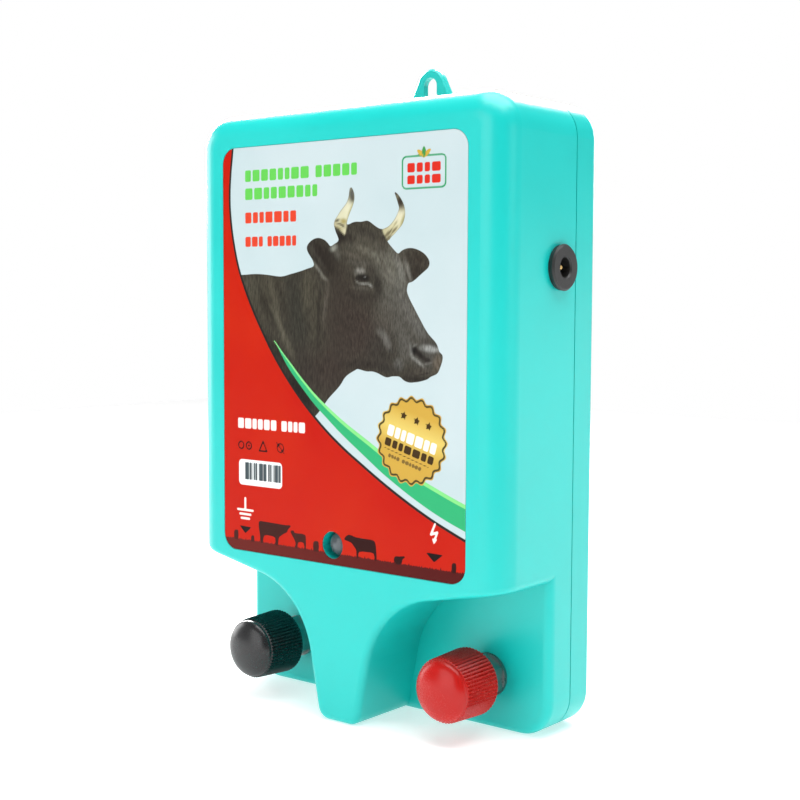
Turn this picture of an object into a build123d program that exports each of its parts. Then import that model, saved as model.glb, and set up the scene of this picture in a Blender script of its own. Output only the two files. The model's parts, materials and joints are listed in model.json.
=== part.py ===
from build123d import *
import math
import os

# Electric fence energizer: a wall-hung, two-shell plastic case with a recessed screw terminal
# on each side of a central nose, a barrel socket for the supply on its right side, a pulse
# lamp in the front and a high-voltage pulse circuit inside.
#
# Millimetres. +X is the viewer's right, +Y points into the wall and +Z up. The origin is the
# middle of the flat back, so the back is y = 0 and the front face is at y = -body_depth.

# ---------------------------------------------------------------- driving dimensions
body_width = 142.0
body_height = 220.0
body_depth = 56.0
corner_radius = 13.0
wall = 2.5

# Case shells
cover_depth = 12.5
parting_gap = 0.5
platform_depth = 26.0       # from the back to the recessed platforms that carry the terminals
front_edge_radius = 9.5
nose_edge_radius = 2.5
platform_edge_radius = 3.0
cover_edge_radius = 2.2
step_height = 55.7          # from the base to the step, at the side walls
step_rise = 0.2             # the step and the nose flanks both lean by this slope
nose_foot_width = 18.0
nose_throat_radius = 32.0
nose_foot_radius = 5.0
lip_thickness = 1.3
lip_height = 3.5
fit_gap = 0.2               # between shells, and round whatever is dropped into a seat

# Hanging eye on the back cover
eye_thickness = 2.8
eye_top_radius = 6.3
eye_slot_radius = 3.1
eye_entry_radius = 4.75
eye_entry_rise = 5.0        # from the top of the case to the entry hole's centre
eye_slot_rise = 11.8        # from the top of the case to the slot's upper end
eye_foot_half_width = 14.0
eye_edge_radius = 0.7

# Front label
label_width = 113.0
label_height = 150.0
label_radius = 6.0
label_thickness = 0.3
label_pocket = 0.4
label_foot = 57.2           # from the base to the label's lower edge

# Case screws
screw_shank_radius = 1.75
screw_head_radius = 3.4
screw_head_height = 2.2
screw_length = 12.0
screw_seat_depth = 5.0
screw_hole_radius = 1.8
boss_radius = 4.0
boss_inset = 9.0            # from the side walls' outer faces
boss_end_inset = 13.0       # from the top and the base
boss_middle_height = 12.0

# Pulse lamp
lamp_x = -2.0
lamp_rise = 64.2            # above the base
lamp_radius = 4.9
lamp_flange_radius = 5.6
lamp_flange_height = 1.6
lamp_recess = 1.4           # from the front face to the lamp's tip
lamp_tube_wall = 1.5
lamp_pin_spread = 1.27

# Circuit board
board_width = 108.0
board_foot = 60.0           # from the base to the board's lower edge
board_head = 40.0           # from the board's upper edge to the top
board_thickness = 1.6
board_standoff = 10.5
board_hole_inset = 4.0
standoff_radius = 3.6
board_screw_radius = 1.4
board_screw_head_radius = 2.8
board_screw_length = 9.0

# Terminals
terminal_x = 45.4
terminal_rise = 19.3        # above the base
stud_radius = 3.0
stud_reach = 23.7           # in front of the platform
thread_pitch = 1.0
thread_depth = 0.35
thread_gap = 0.05
seat_washer_radius = 7.9
seat_washer_thickness = 1.2
nut_across_flats = 14.0
nut_height = 5.5
clamp_washer_radius = 8.4
clamp_washer_thickness = 1.3
stud_head_across_flats = 10.0
stud_head_height = 4.0
inner_washer_radius = 6.0
inner_washer_thickness = 1.0
lug_thickness = 0.8
lug_ring_radius = 5.6
lug_barrel_radius = 2.2
lug_barrel_length = 6.5

# Knobs
knob_radius = 12.1          # at the heel; the grip narrows towards the dome
knob_front_radius = 11.3
knob_heel = 1.6
knob_grip_length = 17.0
knob_dome_height = 4.8
knob_neck_radius = 8.3
knob_neck_length = 1.9
knob_flutes = 56
knob_flute_depth = 0.6
insert_radius = 4.8
insert_length = 15.0

# Supply socket
socket_y = -22.5
socket_z = 52.7
socket_flange_radius = 7.9
socket_flange_thickness = 2.3
socket_barrel_radius = 5.5
socket_barrel_length = 12.0
socket_mouth_radius = 3.4
socket_mouth_depth = 10.5
socket_pin_radius = 1.0
socket_pin_length = 8.6
socket_pin_shank_radius = 1.5
socket_nut_across_flats = 14.0
socket_nut_height = 2.5

# Leads
lead_radius = 1.5
thin_lead_radius = 0.9

# ---------------------------------------------------------------- planes that follow from them
front_y = -body_depth
parting_y = -cover_depth
platform_y = -platform_depth
base_z = -body_height / 2
top_z = body_height / 2
step_z = base_z + step_height
terminal_z = base_z + terminal_rise
lamp_z = base_z + lamp_rise
label_z = base_z + label_foot + label_height / 2
board_bottom = base_z + board_foot
board_top = top_z - board_head
inner_front_y = front_y + wall
inner_platform_y = platform_y + wall
inner_back_y = -wall
board_front_y = inner_front_y + board_standoff
board_back_y = board_front_y + board_thickness
nut_back_y = platform_y - seat_washer_thickness
nut_front_y = nut_back_y - nut_height
clamp_front_y = nut_front_y - clamp_washer_thickness
knob_grip_back_y = clamp_front_y - knob_neck_length
knob_grip_front_y = knob_grip_back_y - knob_grip_length
lug_back_y = inner_platform_y + inner_washer_thickness + lug_thickness
contact_z = socket_mouth_radius - 0.55


# ---------------------------------------------------------------- small helpers
def slab(sketch, y_front, y_back):
    """A sketch of the front view, X by Z, made solid between two depths."""
    return extrude(Plane.XZ.offset(-y_back) * sketch, amount=y_back - y_front)


def rod(x, z, radius, y_front, y_back):
    return slab(Pos(x, z) * Circle(radius), y_front, y_back)


def hexagon(across_flats):
    return RegularPolygon(across_flats / 2, 6, major_radius=False)


def block(x_low, x_high, y_low, y_high, z_low, z_high):
    size = Box(x_high - x_low, y_high - y_low, z_high - z_low)
    return Pos((x_low + x_high) / 2, (y_low + y_high) / 2, (z_low + z_high) / 2) * size


def turned(points):
    """A turned piece about X from (distance along X, radius) points, closed along the axis."""
    return revolve(make_face(Polyline(*points, close=True)), axis=Axis.X)


def facing_front(piece):
    """Turns a piece that was made along +X so that its +X end faces -Y."""
    return Rot(0, 0, -90) * piece


def threaded_points(start, end, radius):
    """The outline of a thread drawn as closed rings, for turned()."""
    points = []
    turns = int((end - start) / thread_pitch)
    for turn in range(turns):
        here = start + turn * thread_pitch
        points.append((here, radius))
        points.append((here + thread_pitch / 2, radius - thread_depth))
    points.append((start + turns * thread_pitch, radius))
    return points


def lead(points, radius):
    """A wire along straight runs, each corner rounded as far as its two runs allow."""
    places = [Vector(*p) for p in points]
    radii = []
    for before, here, after in zip(places, places[1:], places[2:]):
        shorter = min((here - before).length, (after - here).length)
        half_turn = math.radians((here - before).get_angle(after - here)) / 2
        radii.append(0.45 * shorter / math.tan(half_turn))
    path = FilletPolyline(*places, radius=radii)
    section = Plane(path @ 0, z_dir=path % 0) * Circle(radius)
    tube = sweep(section, path=path)
    length_share = tube.volume / (math.pi * radius**2 * path.length)
    print("lead radii", [round(r, 1) for r in radii], "volume share", round(length_share, 4))
    return tube


def save(name, *pieces):
    """Writes one node, of one solid or of several separate ones."""
    solids = [solid for piece in pieces for solid in piece.solids()]
    export_step(Compound(children=solids), f"parts/{name}.step")


# ---------------------------------------------------------------- case
def case_outline(inset):
    return RectangleRounded(
        body_width - 2 * inset, body_height - 2 * inset, corner_radius - inset
    )


def front_outline():
    """The front face: the case's outline down to the step, and the nose below it."""
    half = body_width / 2
    beyond = 10
    foot = nose_foot_width / 2
    # The step line and the nose's flank cross where both slopes agree.
    throat_x = (foot + step_rise * (step_height - step_rise * half)) / (1 - step_rise**2)
    throat_z = step_z - step_rise * (half - throat_x)
    outer_z = step_z + step_rise * beyond
    right = [(foot, base_z), (throat_x, throat_z), (half + beyond, outer_z)]
    left = [(-x, z) for x, z in reversed(right)]
    shape = make_face(
        Polyline(
            *right, (half + beyond, top_z + beyond), (-half - beyond, top_z + beyond), *left, close=True
        )
    )
    throats = [v for v in shape.vertices() if abs(abs(v.X) - throat_x) < 0.01 and v.Y < top_z]
    shape = fillet(throats, nose_throat_radius)
    feet = [v for v in shape.vertices() if abs(v.Y - base_z) < 0.01]
    shape = fillet(feet, nose_foot_radius)
    return shape & case_outline(0)


def main_edges(form):
    """The front face's edges along its top and sides."""
    face = form.faces().sort_by(Axis.Y)[0]
    return [e for e in face.edges() if e.center().Z > step_z + 2 * wall]


def case_form():
    """The outside of the front shell, as a solid."""
    upper = slab(front_outline(), front_y, platform_y + platform_edge_radius + 1)
    lower = slab(case_outline(0), platform_y, parting_y - parting_gap)
    lower = fillet(lower.faces().sort_by(Axis.Y)[0].edges(), platform_edge_radius)
    form = fillet(main_edges((upper + lower).clean()), front_edge_radius)
    face = form.faces().filter_by(Plane.XZ).sort_by(Axis.Y)[0]
    lower_edges = [e for e in face.edges() if e.center().Z < step_z + 2 * wall]
    return fillet(lower_edges, nose_edge_radius)


def case_hollow():
    """The inside of the front shell, one wall thickness in from the outside."""
    upper = slab(offset(front_outline(), -wall), inner_front_y, inner_platform_y)
    lower = slab(case_outline(wall), inner_platform_y, 0)
    form = (upper + lower).clean()
    return fillet(main_edges(form), front_edge_radius - wall)


def boss_places():
    side = body_width / 2 - boss_inset
    end = body_height / 2 - boss_end_inset
    return [(s * side, z) for s in (-1, 1) for z in (-end, boss_middle_height, end)]


def board_places():
    side = board_width / 2 - board_hole_inset
    heights = (board_bottom + board_hole_inset, board_top - board_hole_inset)
    return [(s * side, z) for s in (-1, 1) for z in heights]


def terminal_sides():
    return {"earth": -terminal_x, "fence": terminal_x}


def make_front_housing():
    shell = case_form() - case_hollow()
    tube_radius = lamp_radius + fit_gap + lamp_tube_wall
    tube_back = board_front_y - lamp_flange_height - 1
    shell += rod(lamp_x, lamp_z, tube_radius, inner_front_y - wall / 2, tube_back)
    for x, z in boss_places():
        seat = inner_platform_y if z < step_z else inner_front_y
        shell += rod(x, z, boss_radius, seat - wall / 2, parting_y - parting_gap)
    for x, z in board_places():
        shell += rod(x, z, standoff_radius, inner_front_y - wall / 2, board_front_y)
    pocket = Pos(0, label_z) * RectangleRounded(
        label_width + 2 * fit_gap, label_height + 2 * fit_gap, label_radius + fit_gap
    )
    shell -= slab(pocket, front_y, front_y + label_pocket)
    shell -= rod(lamp_x, lamp_z, lamp_radius + fit_gap, front_y, tube_back)
    bottom = parting_y - screw_length + (cover_depth - screw_seat_depth) - 0.5
    for x, z in boss_places():
        shell -= rod(x, z, screw_hole_radius, bottom, parting_y)
    for x, z in board_places():
        hole = board_screw_radius + thread_gap
        shell -= rod(x, z, hole, board_back_y - board_screw_length - 0.5, board_front_y)
    for x in terminal_sides().values():
        shell -= rod(x, terminal_z, stud_radius + fit_gap, platform_y, inner_platform_y)
    hole = Rot(0, 90, 0) * Cylinder(socket_barrel_radius + fit_gap, 4 * wall)
    shell -= Pos(body_width / 2, socket_y, socket_z) * hole
    return shell


def eye_outline():
    """The hanging eye: a rounded peak that widens down to the case."""
    peak = Pos(0, top_z + eye_slot_rise) * Circle(eye_top_radius)
    foot_z = top_z - wall
    foot = [Pos(s * (eye_foot_half_width - 1), foot_z) * Circle(1) for s in (-1, 1)]
    return make_hull((peak + foot[0] + foot[1]).edges())


def make_back_cover():
    tray = slab(case_outline(0), parting_y, 0)
    tray = fillet(tray.faces().sort_by(Axis.Y)[-1].edges(), cover_edge_radius)
    eye = slab(eye_outline(), -eye_thickness, 0)
    tray += chamfer(eye.faces().sort_by(Axis.Y)[0].edges(), eye_edge_radius)
    tray -= slab(case_outline(wall), parting_y, inner_back_y)
    lip = case_outline(wall + fit_gap) - case_outline(wall + fit_gap + lip_thickness)
    tray += slab(lip, parting_y - lip_height, inner_back_y)
    # The lip's root closes the shell's inner gap, so the two walls are one piece.
    tray += slab(case_outline(wall / 2) - case_outline(wall + fit_gap + lip_thickness), parting_y, inner_back_y)
    # The lip stops short of the nut behind the supply socket.
    nut_reach = socket_nut_across_flats / math.sqrt(3) + 1
    side = body_width / 2 - wall
    tray -= block(
        side - 2 * wall, side, parting_y - lip_height, parting_y, socket_z - nut_reach, socket_z + nut_reach
    )
    for x, z in boss_places():
        tray += rod(x, z, boss_radius + 1.5, parting_y, inner_back_y)
    for x, z in boss_places():
        tray -= rod(x, z, screw_head_radius + 0.5, -screw_seat_depth, 0)
        tray -= rod(x, z, screw_hole_radius + fit_gap, parting_y, 0)
    entry = Pos(0, top_z + eye_entry_rise) * Circle(eye_entry_radius)
    slot_low = top_z + eye_entry_rise
    slot_high = top_z + eye_slot_rise
    slot = Pos(0, (slot_low + slot_high) / 2) * Rectangle(2 * eye_slot_radius, slot_high - slot_low)
    slot += Pos(0, slot_high) * Circle(eye_slot_radius)
    tray -= slab(entry + slot, -eye_thickness, 0)
    return tray


def make_front_label():
    sheet = Pos(0, label_z) * RectangleRounded(label_width, label_height, label_radius)
    window = Pos(lamp_x, lamp_z) * Circle(lamp_radius)
    label_back = front_y + label_pocket
    return slab(sheet - window, label_back - label_thickness, label_back)


def cross_slot(radius, depth_from, depth_to):
    """A cross recess in a screw head that faces +Y, as a cutter round the screw's axis."""
    bar = Rectangle(1.7 * radius, 0.3 * radius)
    return slab(bar + Rot(0, 0, 90) * bar, depth_from, depth_to)


def make_case_screw(x, z):
    seat = -screw_seat_depth
    head = rod(0, 0, screw_head_radius, seat, seat + screw_head_height)
    head = fillet(head.faces().sort_by(Axis.Y)[-1].edges(), 0.9)
    head -= cross_slot(screw_head_radius / 1.6, seat + 0.8, seat + screw_head_height)
    thread = threaded_points(1, screw_length - 2, screw_shank_radius)
    core = screw_shank_radius - thread_depth
    outline = [(0, 0), (0, core), (1, core)] + thread + [(screw_length, 0)]
    shank = Pos(0, seat, 0) * facing_front(turned(outline))
    return Pos(x, 0, z) * (head + shank)


# ---------------------------------------------------------------- pulse lamp and board
def make_lamp():
    tip_y = front_y + lamp_recess
    centre = tip_y + lamp_radius
    flange = rod(lamp_x, lamp_z, lamp_flange_radius, board_front_y - lamp_flange_height, board_front_y)
    body = rod(lamp_x, lamp_z, lamp_radius, centre, board_front_y)
    dome = Pos(lamp_x, centre, lamp_z) * Sphere(lamp_radius)
    dome &= rod(lamp_x, lamp_z, lamp_radius + 1, tip_y - 1, centre)
    return flange + body + dome


def lamp_pin_places():
    return [(lamp_x - lamp_pin_spread, lamp_z), (lamp_x + lamp_pin_spread, lamp_z)]


def make_board():
    middle = (board_bottom + board_top) / 2
    sheet = Pos(0, middle) * RectangleRounded(board_width, board_top - board_bottom, 2)
    for x, z in board_places():
        sheet -= Pos(x, z) * Circle(board_screw_radius + 0.3)
    for x, z in lamp_pin_places():
        sheet -= Pos(x, z) * Circle(0.5)
    return slab(sheet, board_front_y, board_back_y)


def make_board_screw(x, z):
    head = rod(x, z, board_screw_head_radius, board_back_y, board_back_y + 1.9)
    head = fillet(head.faces().sort_by(Axis.Y)[-1].edges(), 0.7)
    slot = cross_slot(board_screw_head_radius / 1.6, board_back_y + 0.8, board_back_y + 2)
    shank = rod(x, z, board_screw_radius, board_back_y - board_screw_length, board_back_y)
    return head + shank - Pos(x, 0, z) * slot


# Pulse transformer: laminated core, coil former and two windings, wound about Z.
core_x = 24.0
core_z = -4.0
core_width = 50.0
core_height = 42.0
core_stack = 18.0
core_leg = 8.0
core_centre_leg = 16.0
former_wall = 0.9
former_flange = 1.2
primary_thickness = 2.4
secondary_thickness = 3.8
core_air = 0.2


def coil_layer(inner_x, inner_y, thickness, height):
    """A wound layer about Z with rounded corners, as a closed ring."""
    outer = RectangleRounded(2 * (inner_x + thickness), 2 * (inner_y + thickness), thickness)
    ring = extrude(outer, amount=height / 2, both=True)
    return ring - Box(2 * inner_x, 2 * inner_y, height)


def transformer_places():
    """Half sizes of the centre leg and where the coil's middle lies."""
    leg_x = core_centre_leg / 2 + core_air
    leg_y = core_stack / 2 + core_air
    reach = leg_y + former_wall + primary_thickness + secondary_thickness + core_air
    return leg_x, leg_y, reach, Pos(core_x, board_back_y + reach + 0.4, core_z)


def make_transformer_core():
    place = transformer_places()[3]
    plate = Box(core_width, core_stack, core_height)
    window_width = (core_width - core_centre_leg) / 2 - core_leg
    window_x = core_centre_leg / 2 + window_width / 2
    window = Box(window_width, core_stack, core_height - 2 * core_leg)
    return place * (plate - Pos(-window_x, 0, 0) * window - Pos(window_x, 0, 0) * window)


def make_transformer_former():
    leg_x, leg_y, reach, place = transformer_places()
    height = core_height - 2 * core_leg - 2 * core_air
    tube = Box(2 * (leg_x + former_wall), 2 * (leg_y + former_wall), height)
    flange_x = leg_x + former_wall + primary_thickness + secondary_thickness + core_air
    flange = Pos(0, -0.2, 0) * Box(2 * flange_x, 2 * reach + 0.4, former_flange)
    for side in (-1, 1):
        tube += Pos(0, 0, side * (height - former_flange) / 2) * flange
    return place * (tube - Box(2 * leg_x, 2 * leg_y, height))


def winding_height():
    return core_height - 2 * core_leg - 2 * core_air - 2 * former_flange - 2 * core_air


def make_primary_winding():
    leg_x, leg_y, _, place = transformer_places()
    return place * coil_layer(
        leg_x + former_wall, leg_y + former_wall, primary_thickness, winding_height()
    )


def make_secondary_winding():
    leg_x, leg_y, _, place = transformer_places()
    under = former_wall + primary_thickness
    inside = RectangleRounded(2 * (leg_x + under), 2 * (leg_y + under), primary_thickness)
    thick = secondary_thickness
    outside = RectangleRounded(
        2 * (leg_x + under + thick), 2 * (leg_y + under + thick), thick + primary_thickness
    )
    return place * extrude(outside - inside, amount=winding_height() / 2, both=True)


# Smaller parts on the board, each standing on its back face.
capacitor_x = (-46.0, -3.0)
capacitor_z = (10.0, 66.0)
capacitor_height = 30.0
converter_x = 18.0
converter_z = 52.0
converter_size = 20.0
converter_height = 16.0
can_radius = 6.25
can_height = 20.0
can_places = [(42.0, 27.0), (-8.0, -2.0)]
sink_x = (-50.0, -22.0)
sink_z = (-14.0, -11.5)
sink_height = 26.0
sink_foot = 10.0
thyristor_x = -36.0
fuse_x = -14.0
fuse_z = (-38.0, -18.0)
fuse_radius = 2.6
chip_x = -38.0
chip_z = -32.0
output_block_x = (17.0, 33.0)
output_block_z = (-45.0, -36.0)
output_block_height = 10.0
input_block_x = (38.0, 48.0)
input_block_z = (46.0, 58.0)
input_block_height = 9.0


def standing(x_low, x_high, z_low, z_high, height):
    return block(x_low, x_high, board_back_y, board_back_y + height, z_low, z_high)


def make_storage_capacitor():
    case = standing(*capacitor_x, *capacitor_z, capacitor_height)
    case = fillet(case.edges().filter_by(Axis.Y), 2)
    return chamfer(case.faces().sort_by(Axis.Y)[-1].edges(), 0.8)


def make_converter_core():
    half = converter_size / 2
    yoke = 3.0
    body = standing(
        converter_x - half, converter_x + half, converter_z - half, converter_z + half, converter_height
    )
    gap = standing(
        converter_x - half + yoke, converter_x + half - yoke,
        converter_z - half + yoke, converter_z + half - yoke, converter_height,
    )
    foot = standing(
        converter_x - half, converter_x + half, converter_z - half, converter_z + half, converter_height / 4
    )
    return body - gap - foot


def make_converter_former():
    half = converter_size / 2 - 3.2
    base = converter_size / 2 + 1
    foot = standing(
        converter_x - base, converter_x + base, converter_z - base, converter_z + base,
        converter_height / 4 - 0.2,
    )
    spool = standing(converter_x - half, converter_x + half, converter_z - half, converter_z + half, 5)
    top = Pos(0, converter_height - 3, 0) * spool
    middle = rod(
        converter_x, converter_z, half / 2, board_back_y + 3, board_back_y + converter_height
    )
    return foot + Pos(0, 0.2, 0) * (spool + top & standing(
        converter_x - half, converter_x + half, converter_z - half, converter_z + half,
        converter_height + 1)) + middle


def make_converter_winding():
    half = converter_size / 2 - 3.4
    low, high = board_back_y + 5.3, board_back_y + converter_height - 3
    ring = Circle(half) - Circle(converter_size / 4 - 1.6 + 0.05)
    return slab(Pos(converter_x, converter_z) * ring, low, high)


def make_can(x, z):
    top = board_back_y + can_height
    can = rod(x, z, can_radius, board_back_y, top)
    can = fillet(can.faces().sort_by(Axis.Y)[-1].edges(), 0.8)
    groove = Circle(can_radius + 1) - Circle(can_radius - 0.5)
    return can - slab(Pos(x, z) * groove, board_back_y + 1.6, board_back_y + 2.6)


def make_heat_sink():
    plate = standing(*sink_x, *sink_z, sink_height)
    for x in (sink_x[0], sink_x[1] - 2.5):
        plate += standing(x, x + 2.5, sink_z[0], sink_z[1] + sink_foot, sink_height)
    hole = Rot(90, 0, 0) * Rot(90, 0, 0) * Cylinder(1.6, 10)
    return plate - Pos(thyristor_x, board_back_y + 19, sink_z[0]) * hole


def make_thyristor():
    """A flat power device, its metal tab bolted to the heat sink."""
    low = sink_z[0]
    body = block(
        thyristor_x - 5, thyristor_x + 5, board_back_y + 3, board_back_y + 12, low - 4.4, low - 0.01
    )
    tab = block(
        thyristor_x - 5, thyristor_x + 5, board_back_y + 12, board_back_y + 22, low - 1.3, low - 0.01
    )
    tab -= Pos(thyristor_x, board_back_y + 19, low) * Cylinder(1.6, 10)
    for leg in (-2.54, 0, 2.54):
        tab += block(
            thyristor_x + leg - 0.4, thyristor_x + leg + 0.4, board_back_y, board_back_y + 3, low - 2.6, low - 2
        )
    return body + tab


def make_thyristor_screw():
    low = sink_z[0] - 1.3
    head = Pos(thyristor_x, board_back_y + 19, low - 1) * Cylinder(2.8, 2)
    shank = Pos(thyristor_x, board_back_y + 19, low + 3.5) * Cylinder(1.5, 7)
    nut = Pos(thyristor_x, board_back_y + 19, sink_z[1]) * extrude(hexagon(5.5), amount=2.4)
    return head + shank + nut


def make_fuse_tube():
    length = fuse_z[1] - fuse_z[0]
    return Pos(fuse_x, board_back_y + 5, sum(fuse_z) / 2) * Cylinder(fuse_radius, length - 11)


def make_fuse_caps():
    caps = []
    for z in fuse_z:
        inward = 2.75 if z == fuse_z[0] else -2.75
        caps.append(Pos(fuse_x, board_back_y + 5, z + inward) * Cylinder(fuse_radius + 0.2, 5.5))
    return caps


def make_fuse_clips():
    """Two spring clips that hold the fuse's caps off the board."""
    clips = []
    outer = fuse_radius + 0.9
    for z in fuse_z:
        middle = z + (2.75 if z == fuse_z[0] else -2.75)
        clip = block(
            fuse_x - outer, fuse_x + outer, board_back_y, board_back_y + 7, middle - 2, middle + 2
        )
        clip -= Pos(fuse_x, board_back_y + 5, middle) * Cylinder(fuse_radius + 0.25, 6)
        clips.append(clip - block(
            fuse_x - 1.8, fuse_x + 1.8, board_back_y + 5, board_back_y + 8, middle - 3, middle + 3))
    return clips


def make_control_chip():
    body = standing(chip_x - 4.7, chip_x + 4.7, chip_z - 3.2, chip_z + 3.2, 3.9)
    body -= standing(chip_x - 5, chip_x + 5, chip_z - 4, chip_z + 4, 0.5)
    body -= rod(chip_x - 4.7, chip_z, 1, board_back_y + 3.3, board_back_y + 4)
    for step in (-3.81, -1.27, 1.27, 3.81):
        for side in (-1, 1):
            body += standing(
                chip_x + step - 0.3, chip_x + step + 0.3, chip_z + side * 3.5 - 0.4,
                chip_z + side * 3.5 + 0.4, 2,
            )
    return body


def axial_part(x, z, radius, length):
    """A small body lying along X with a wire bent down to the board at each end."""
    height = board_back_y + radius + 1
    body = Rot(0, 90, 0) * Cylinder(radius, length)
    body = Pos(x, height, z) * fillet(body.edges(), radius / 3)
    for side in (-1, 1):
        end = x + side * (length / 2 + 1.5)
        low, high = sorted((x, end))
        body += block(low - 0.3, high + 0.3, height - 0.3, height + 0.3, z - 0.3, z + 0.3)
        body += block(end - 0.3, end + 0.3, board_back_y, height, z - 0.3, z + 0.3)
    return body


def make_terminal_block(x_span, z_span, height, lead_radii, lead_height):
    """A wire-to-board block with one entry in its lower face for each lead."""
    body = standing(*x_span, *z_span, height)
    body = chamfer(body.faces().sort_by(Axis.Y)[-1].edges(), 0.8)
    for x in block_entries(x_span):
        hole = Pos(x, board_back_y + lead_height, z_span[0]) * Cylinder(lead_radii + thread_gap, 8)
        screw = rod(x, sum(z_span) / 2 + 1, 1.9, board_back_y + height - 1.5, board_back_y + height)
        body = body - hole - screw
    return body


def block_entries(x_span):
    quarter = (x_span[1] - x_span[0]) / 4
    return [x_span[0] + quarter, x_span[1] - quarter]


def make_block_screws():
    screws = []
    for x_span, z_span, height in (
        (output_block_x, output_block_z, output_block_height),
        (input_block_x, input_block_z, input_block_height),
    ):
        for x in block_entries(x_span):
            top = board_back_y + height
            screw = rod(x, sum(z_span) / 2 + 1, 1.85, top - 1.5, top - 0.3)
            slot = Pos(x, sum(z_span) / 2 + 1) * Rectangle(3, 0.6)
            screws.append(screw - slab(slot, top - 0.8, top))
    return screws


# ---------------------------------------------------------------- terminals and knobs
def make_stud():
    """Hex-headed, held from inside, threaded over its whole reach in front of the platform."""
    head_back = lug_back_y + stud_head_height
    head = slab(hexagon(stud_head_across_flats), lug_back_y, head_back)
    plain = stud_radius - thread_depth
    total = stud_reach + (lug_back_y - platform_y)
    start = lug_back_y - nut_back_y
    thread = threaded_points(start, total - 0.5, stud_radius)
    outline = [(0, 0), (0, stud_radius), (start - 0.5, stud_radius), (start - 0.5, plain), (start, plain)]
    outline += thread + [(total, plain - 0.5), (total, 0)]
    shank = Pos(0, lug_back_y, 0) * facing_front(turned(outline))
    return head + shank


def flat_ring(outer, inner, y_front, y_back):
    return slab(Circle(outer) - Circle(inner), y_front, y_back)


def make_lug():
    """Ring lug under the stud's head, its barrel pointing up."""
    low = lug_back_y - lug_thickness
    ring = Circle(lug_ring_radius)
    neck_high = lug_ring_radius + 4
    ring += Pos(0, neck_high / 2) * Rectangle(2 * lug_barrel_radius, neck_high)
    plate = slab(ring - Circle(stud_radius + fit_gap), low, lug_back_y)
    barrel_y = lug_barrel_y()
    barrel_z = neck_high - 1 + lug_barrel_length / 2
    barrel = Pos(0, barrel_y, barrel_z) * Cylinder(lug_barrel_radius, lug_barrel_length)
    entry = Pos(0, barrel_y, barrel_z + 2) * Cylinder(lead_radius + thread_gap, lug_barrel_length)
    return plate + barrel - entry


def lug_barrel_y():
    return inner_platform_y + lug_barrel_radius + 0.1


def make_nut():
    nut = slab(Rot(0, 0, 30) * hexagon(nut_across_flats), nut_front_y, nut_back_y)
    corner = nut_across_flats / math.sqrt(3)
    ease = 0.6
    outline = [
        (0, 0), (0, corner - ease), (ease, corner), (nut_height - ease, corner),
        (nut_height, corner - ease), (nut_height, 0),
    ]
    nut &= Pos(0, nut_back_y, 0) * facing_front(turned(outline))
    return nut - slab(Circle(stud_radius + thread_gap), nut_front_y, nut_back_y)


def fluted_outline(radius):
    """A toothed circle; the teeth keep their share of the radius."""
    teeth = []
    for i in range(2 * knob_flutes):
        angle = math.pi * i / knob_flutes
        reach = radius * (1 - (knob_flute_depth / knob_radius if i % 2 else 0))
        teeth.append((reach * math.cos(angle), reach * math.sin(angle)))
    return make_face(Polyline(*teeth, close=True))


def make_knob_cap():
    """Fluted plastic cap that narrows to a low domed end, with a plain neck towards the clamp washer."""
    total = knob_grip_length + knob_dome_height
    narrowing = (knob_radius - knob_front_radius) / knob_grip_length
    end_radius = knob_radius - narrowing * total
    back_plane = Plane.XZ.offset(-knob_grip_back_y)
    front_plane = Plane.XZ.offset(total - knob_grip_back_y)
    grip = loft([back_plane * fluted_outline(knob_radius), front_plane * fluted_outline(end_radius)], ruled=True)
    rim = knob_front_radius - knob_flute_depth - 0.05
    shoulder = knob_grip_length + 0.35
    dome = EllipticalCenterArc((shoulder, 0), total - shoulder, rim, start_angle=0, arc_size=90)
    side = Polyline(
        (total, 0), (0, 0), (0, knob_radius - knob_heel), (knob_heel, knob_radius),
        (knob_grip_length, knob_front_radius), (shoulder, rim),
    )
    turning = revolve(make_face(Wire([*dome.edges(), *side.edges()])), axis=Axis.X)
    cap = grip & (Pos(0, knob_grip_back_y, 0) * facing_front(turning))
    cap += slab(Circle(knob_neck_radius), knob_grip_back_y, clamp_front_y)
    return cap - slab(Circle(insert_radius), clamp_front_y - insert_length, clamp_front_y)


def make_knob_insert():
    """Brass sleeve moulded into the cap. Its bore clears the stud's whole reach."""
    sleeve = Circle(insert_radius) - Circle(stud_radius + thread_gap)
    tube = slab(sleeve, clamp_front_y - insert_length, clamp_front_y)
    deep = platform_y - stud_reach - 0.5
    return tube, slab(Circle(stud_radius + thread_gap), deep, clamp_front_y - insert_length)


# ---------------------------------------------------------------- supply socket
def at_socket(piece):
    return Pos(body_width / 2, socket_y, socket_z) * piece


def make_socket_body():
    inside = -socket_barrel_length
    face = socket_flange_thickness
    groove_start = inside + 1
    thread = [(x, r) for x, r in reversed(threaded_points(groove_start, -wall - 0.2, socket_barrel_radius))]
    outline = [
        (inside, 0), (inside, socket_barrel_radius - 0.6), (groove_start, socket_barrel_radius - 0.6),
        *reversed(thread), (-wall, socket_barrel_radius), (0, socket_barrel_radius),
        (0, socket_flange_radius - 0.3), (face - 0.7, socket_flange_radius),
        (face, socket_flange_radius - 0.7), (face, socket_mouth_radius + 0.4),
        (face - 0.6, socket_mouth_radius), (face - socket_mouth_depth, socket_mouth_radius),
        (face - socket_mouth_depth, socket_pin_shank_radius), (inside, socket_pin_shank_radius),
    ]
    body = revolve(make_face(Polyline(*outline[1:], close=True)), axis=Axis.X)
    floor = face - socket_mouth_depth
    return at_socket(body - block(inside - 1, floor + 1, -0.55, 0.55, contact_z - 0.05, contact_z + 0.35))


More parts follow.
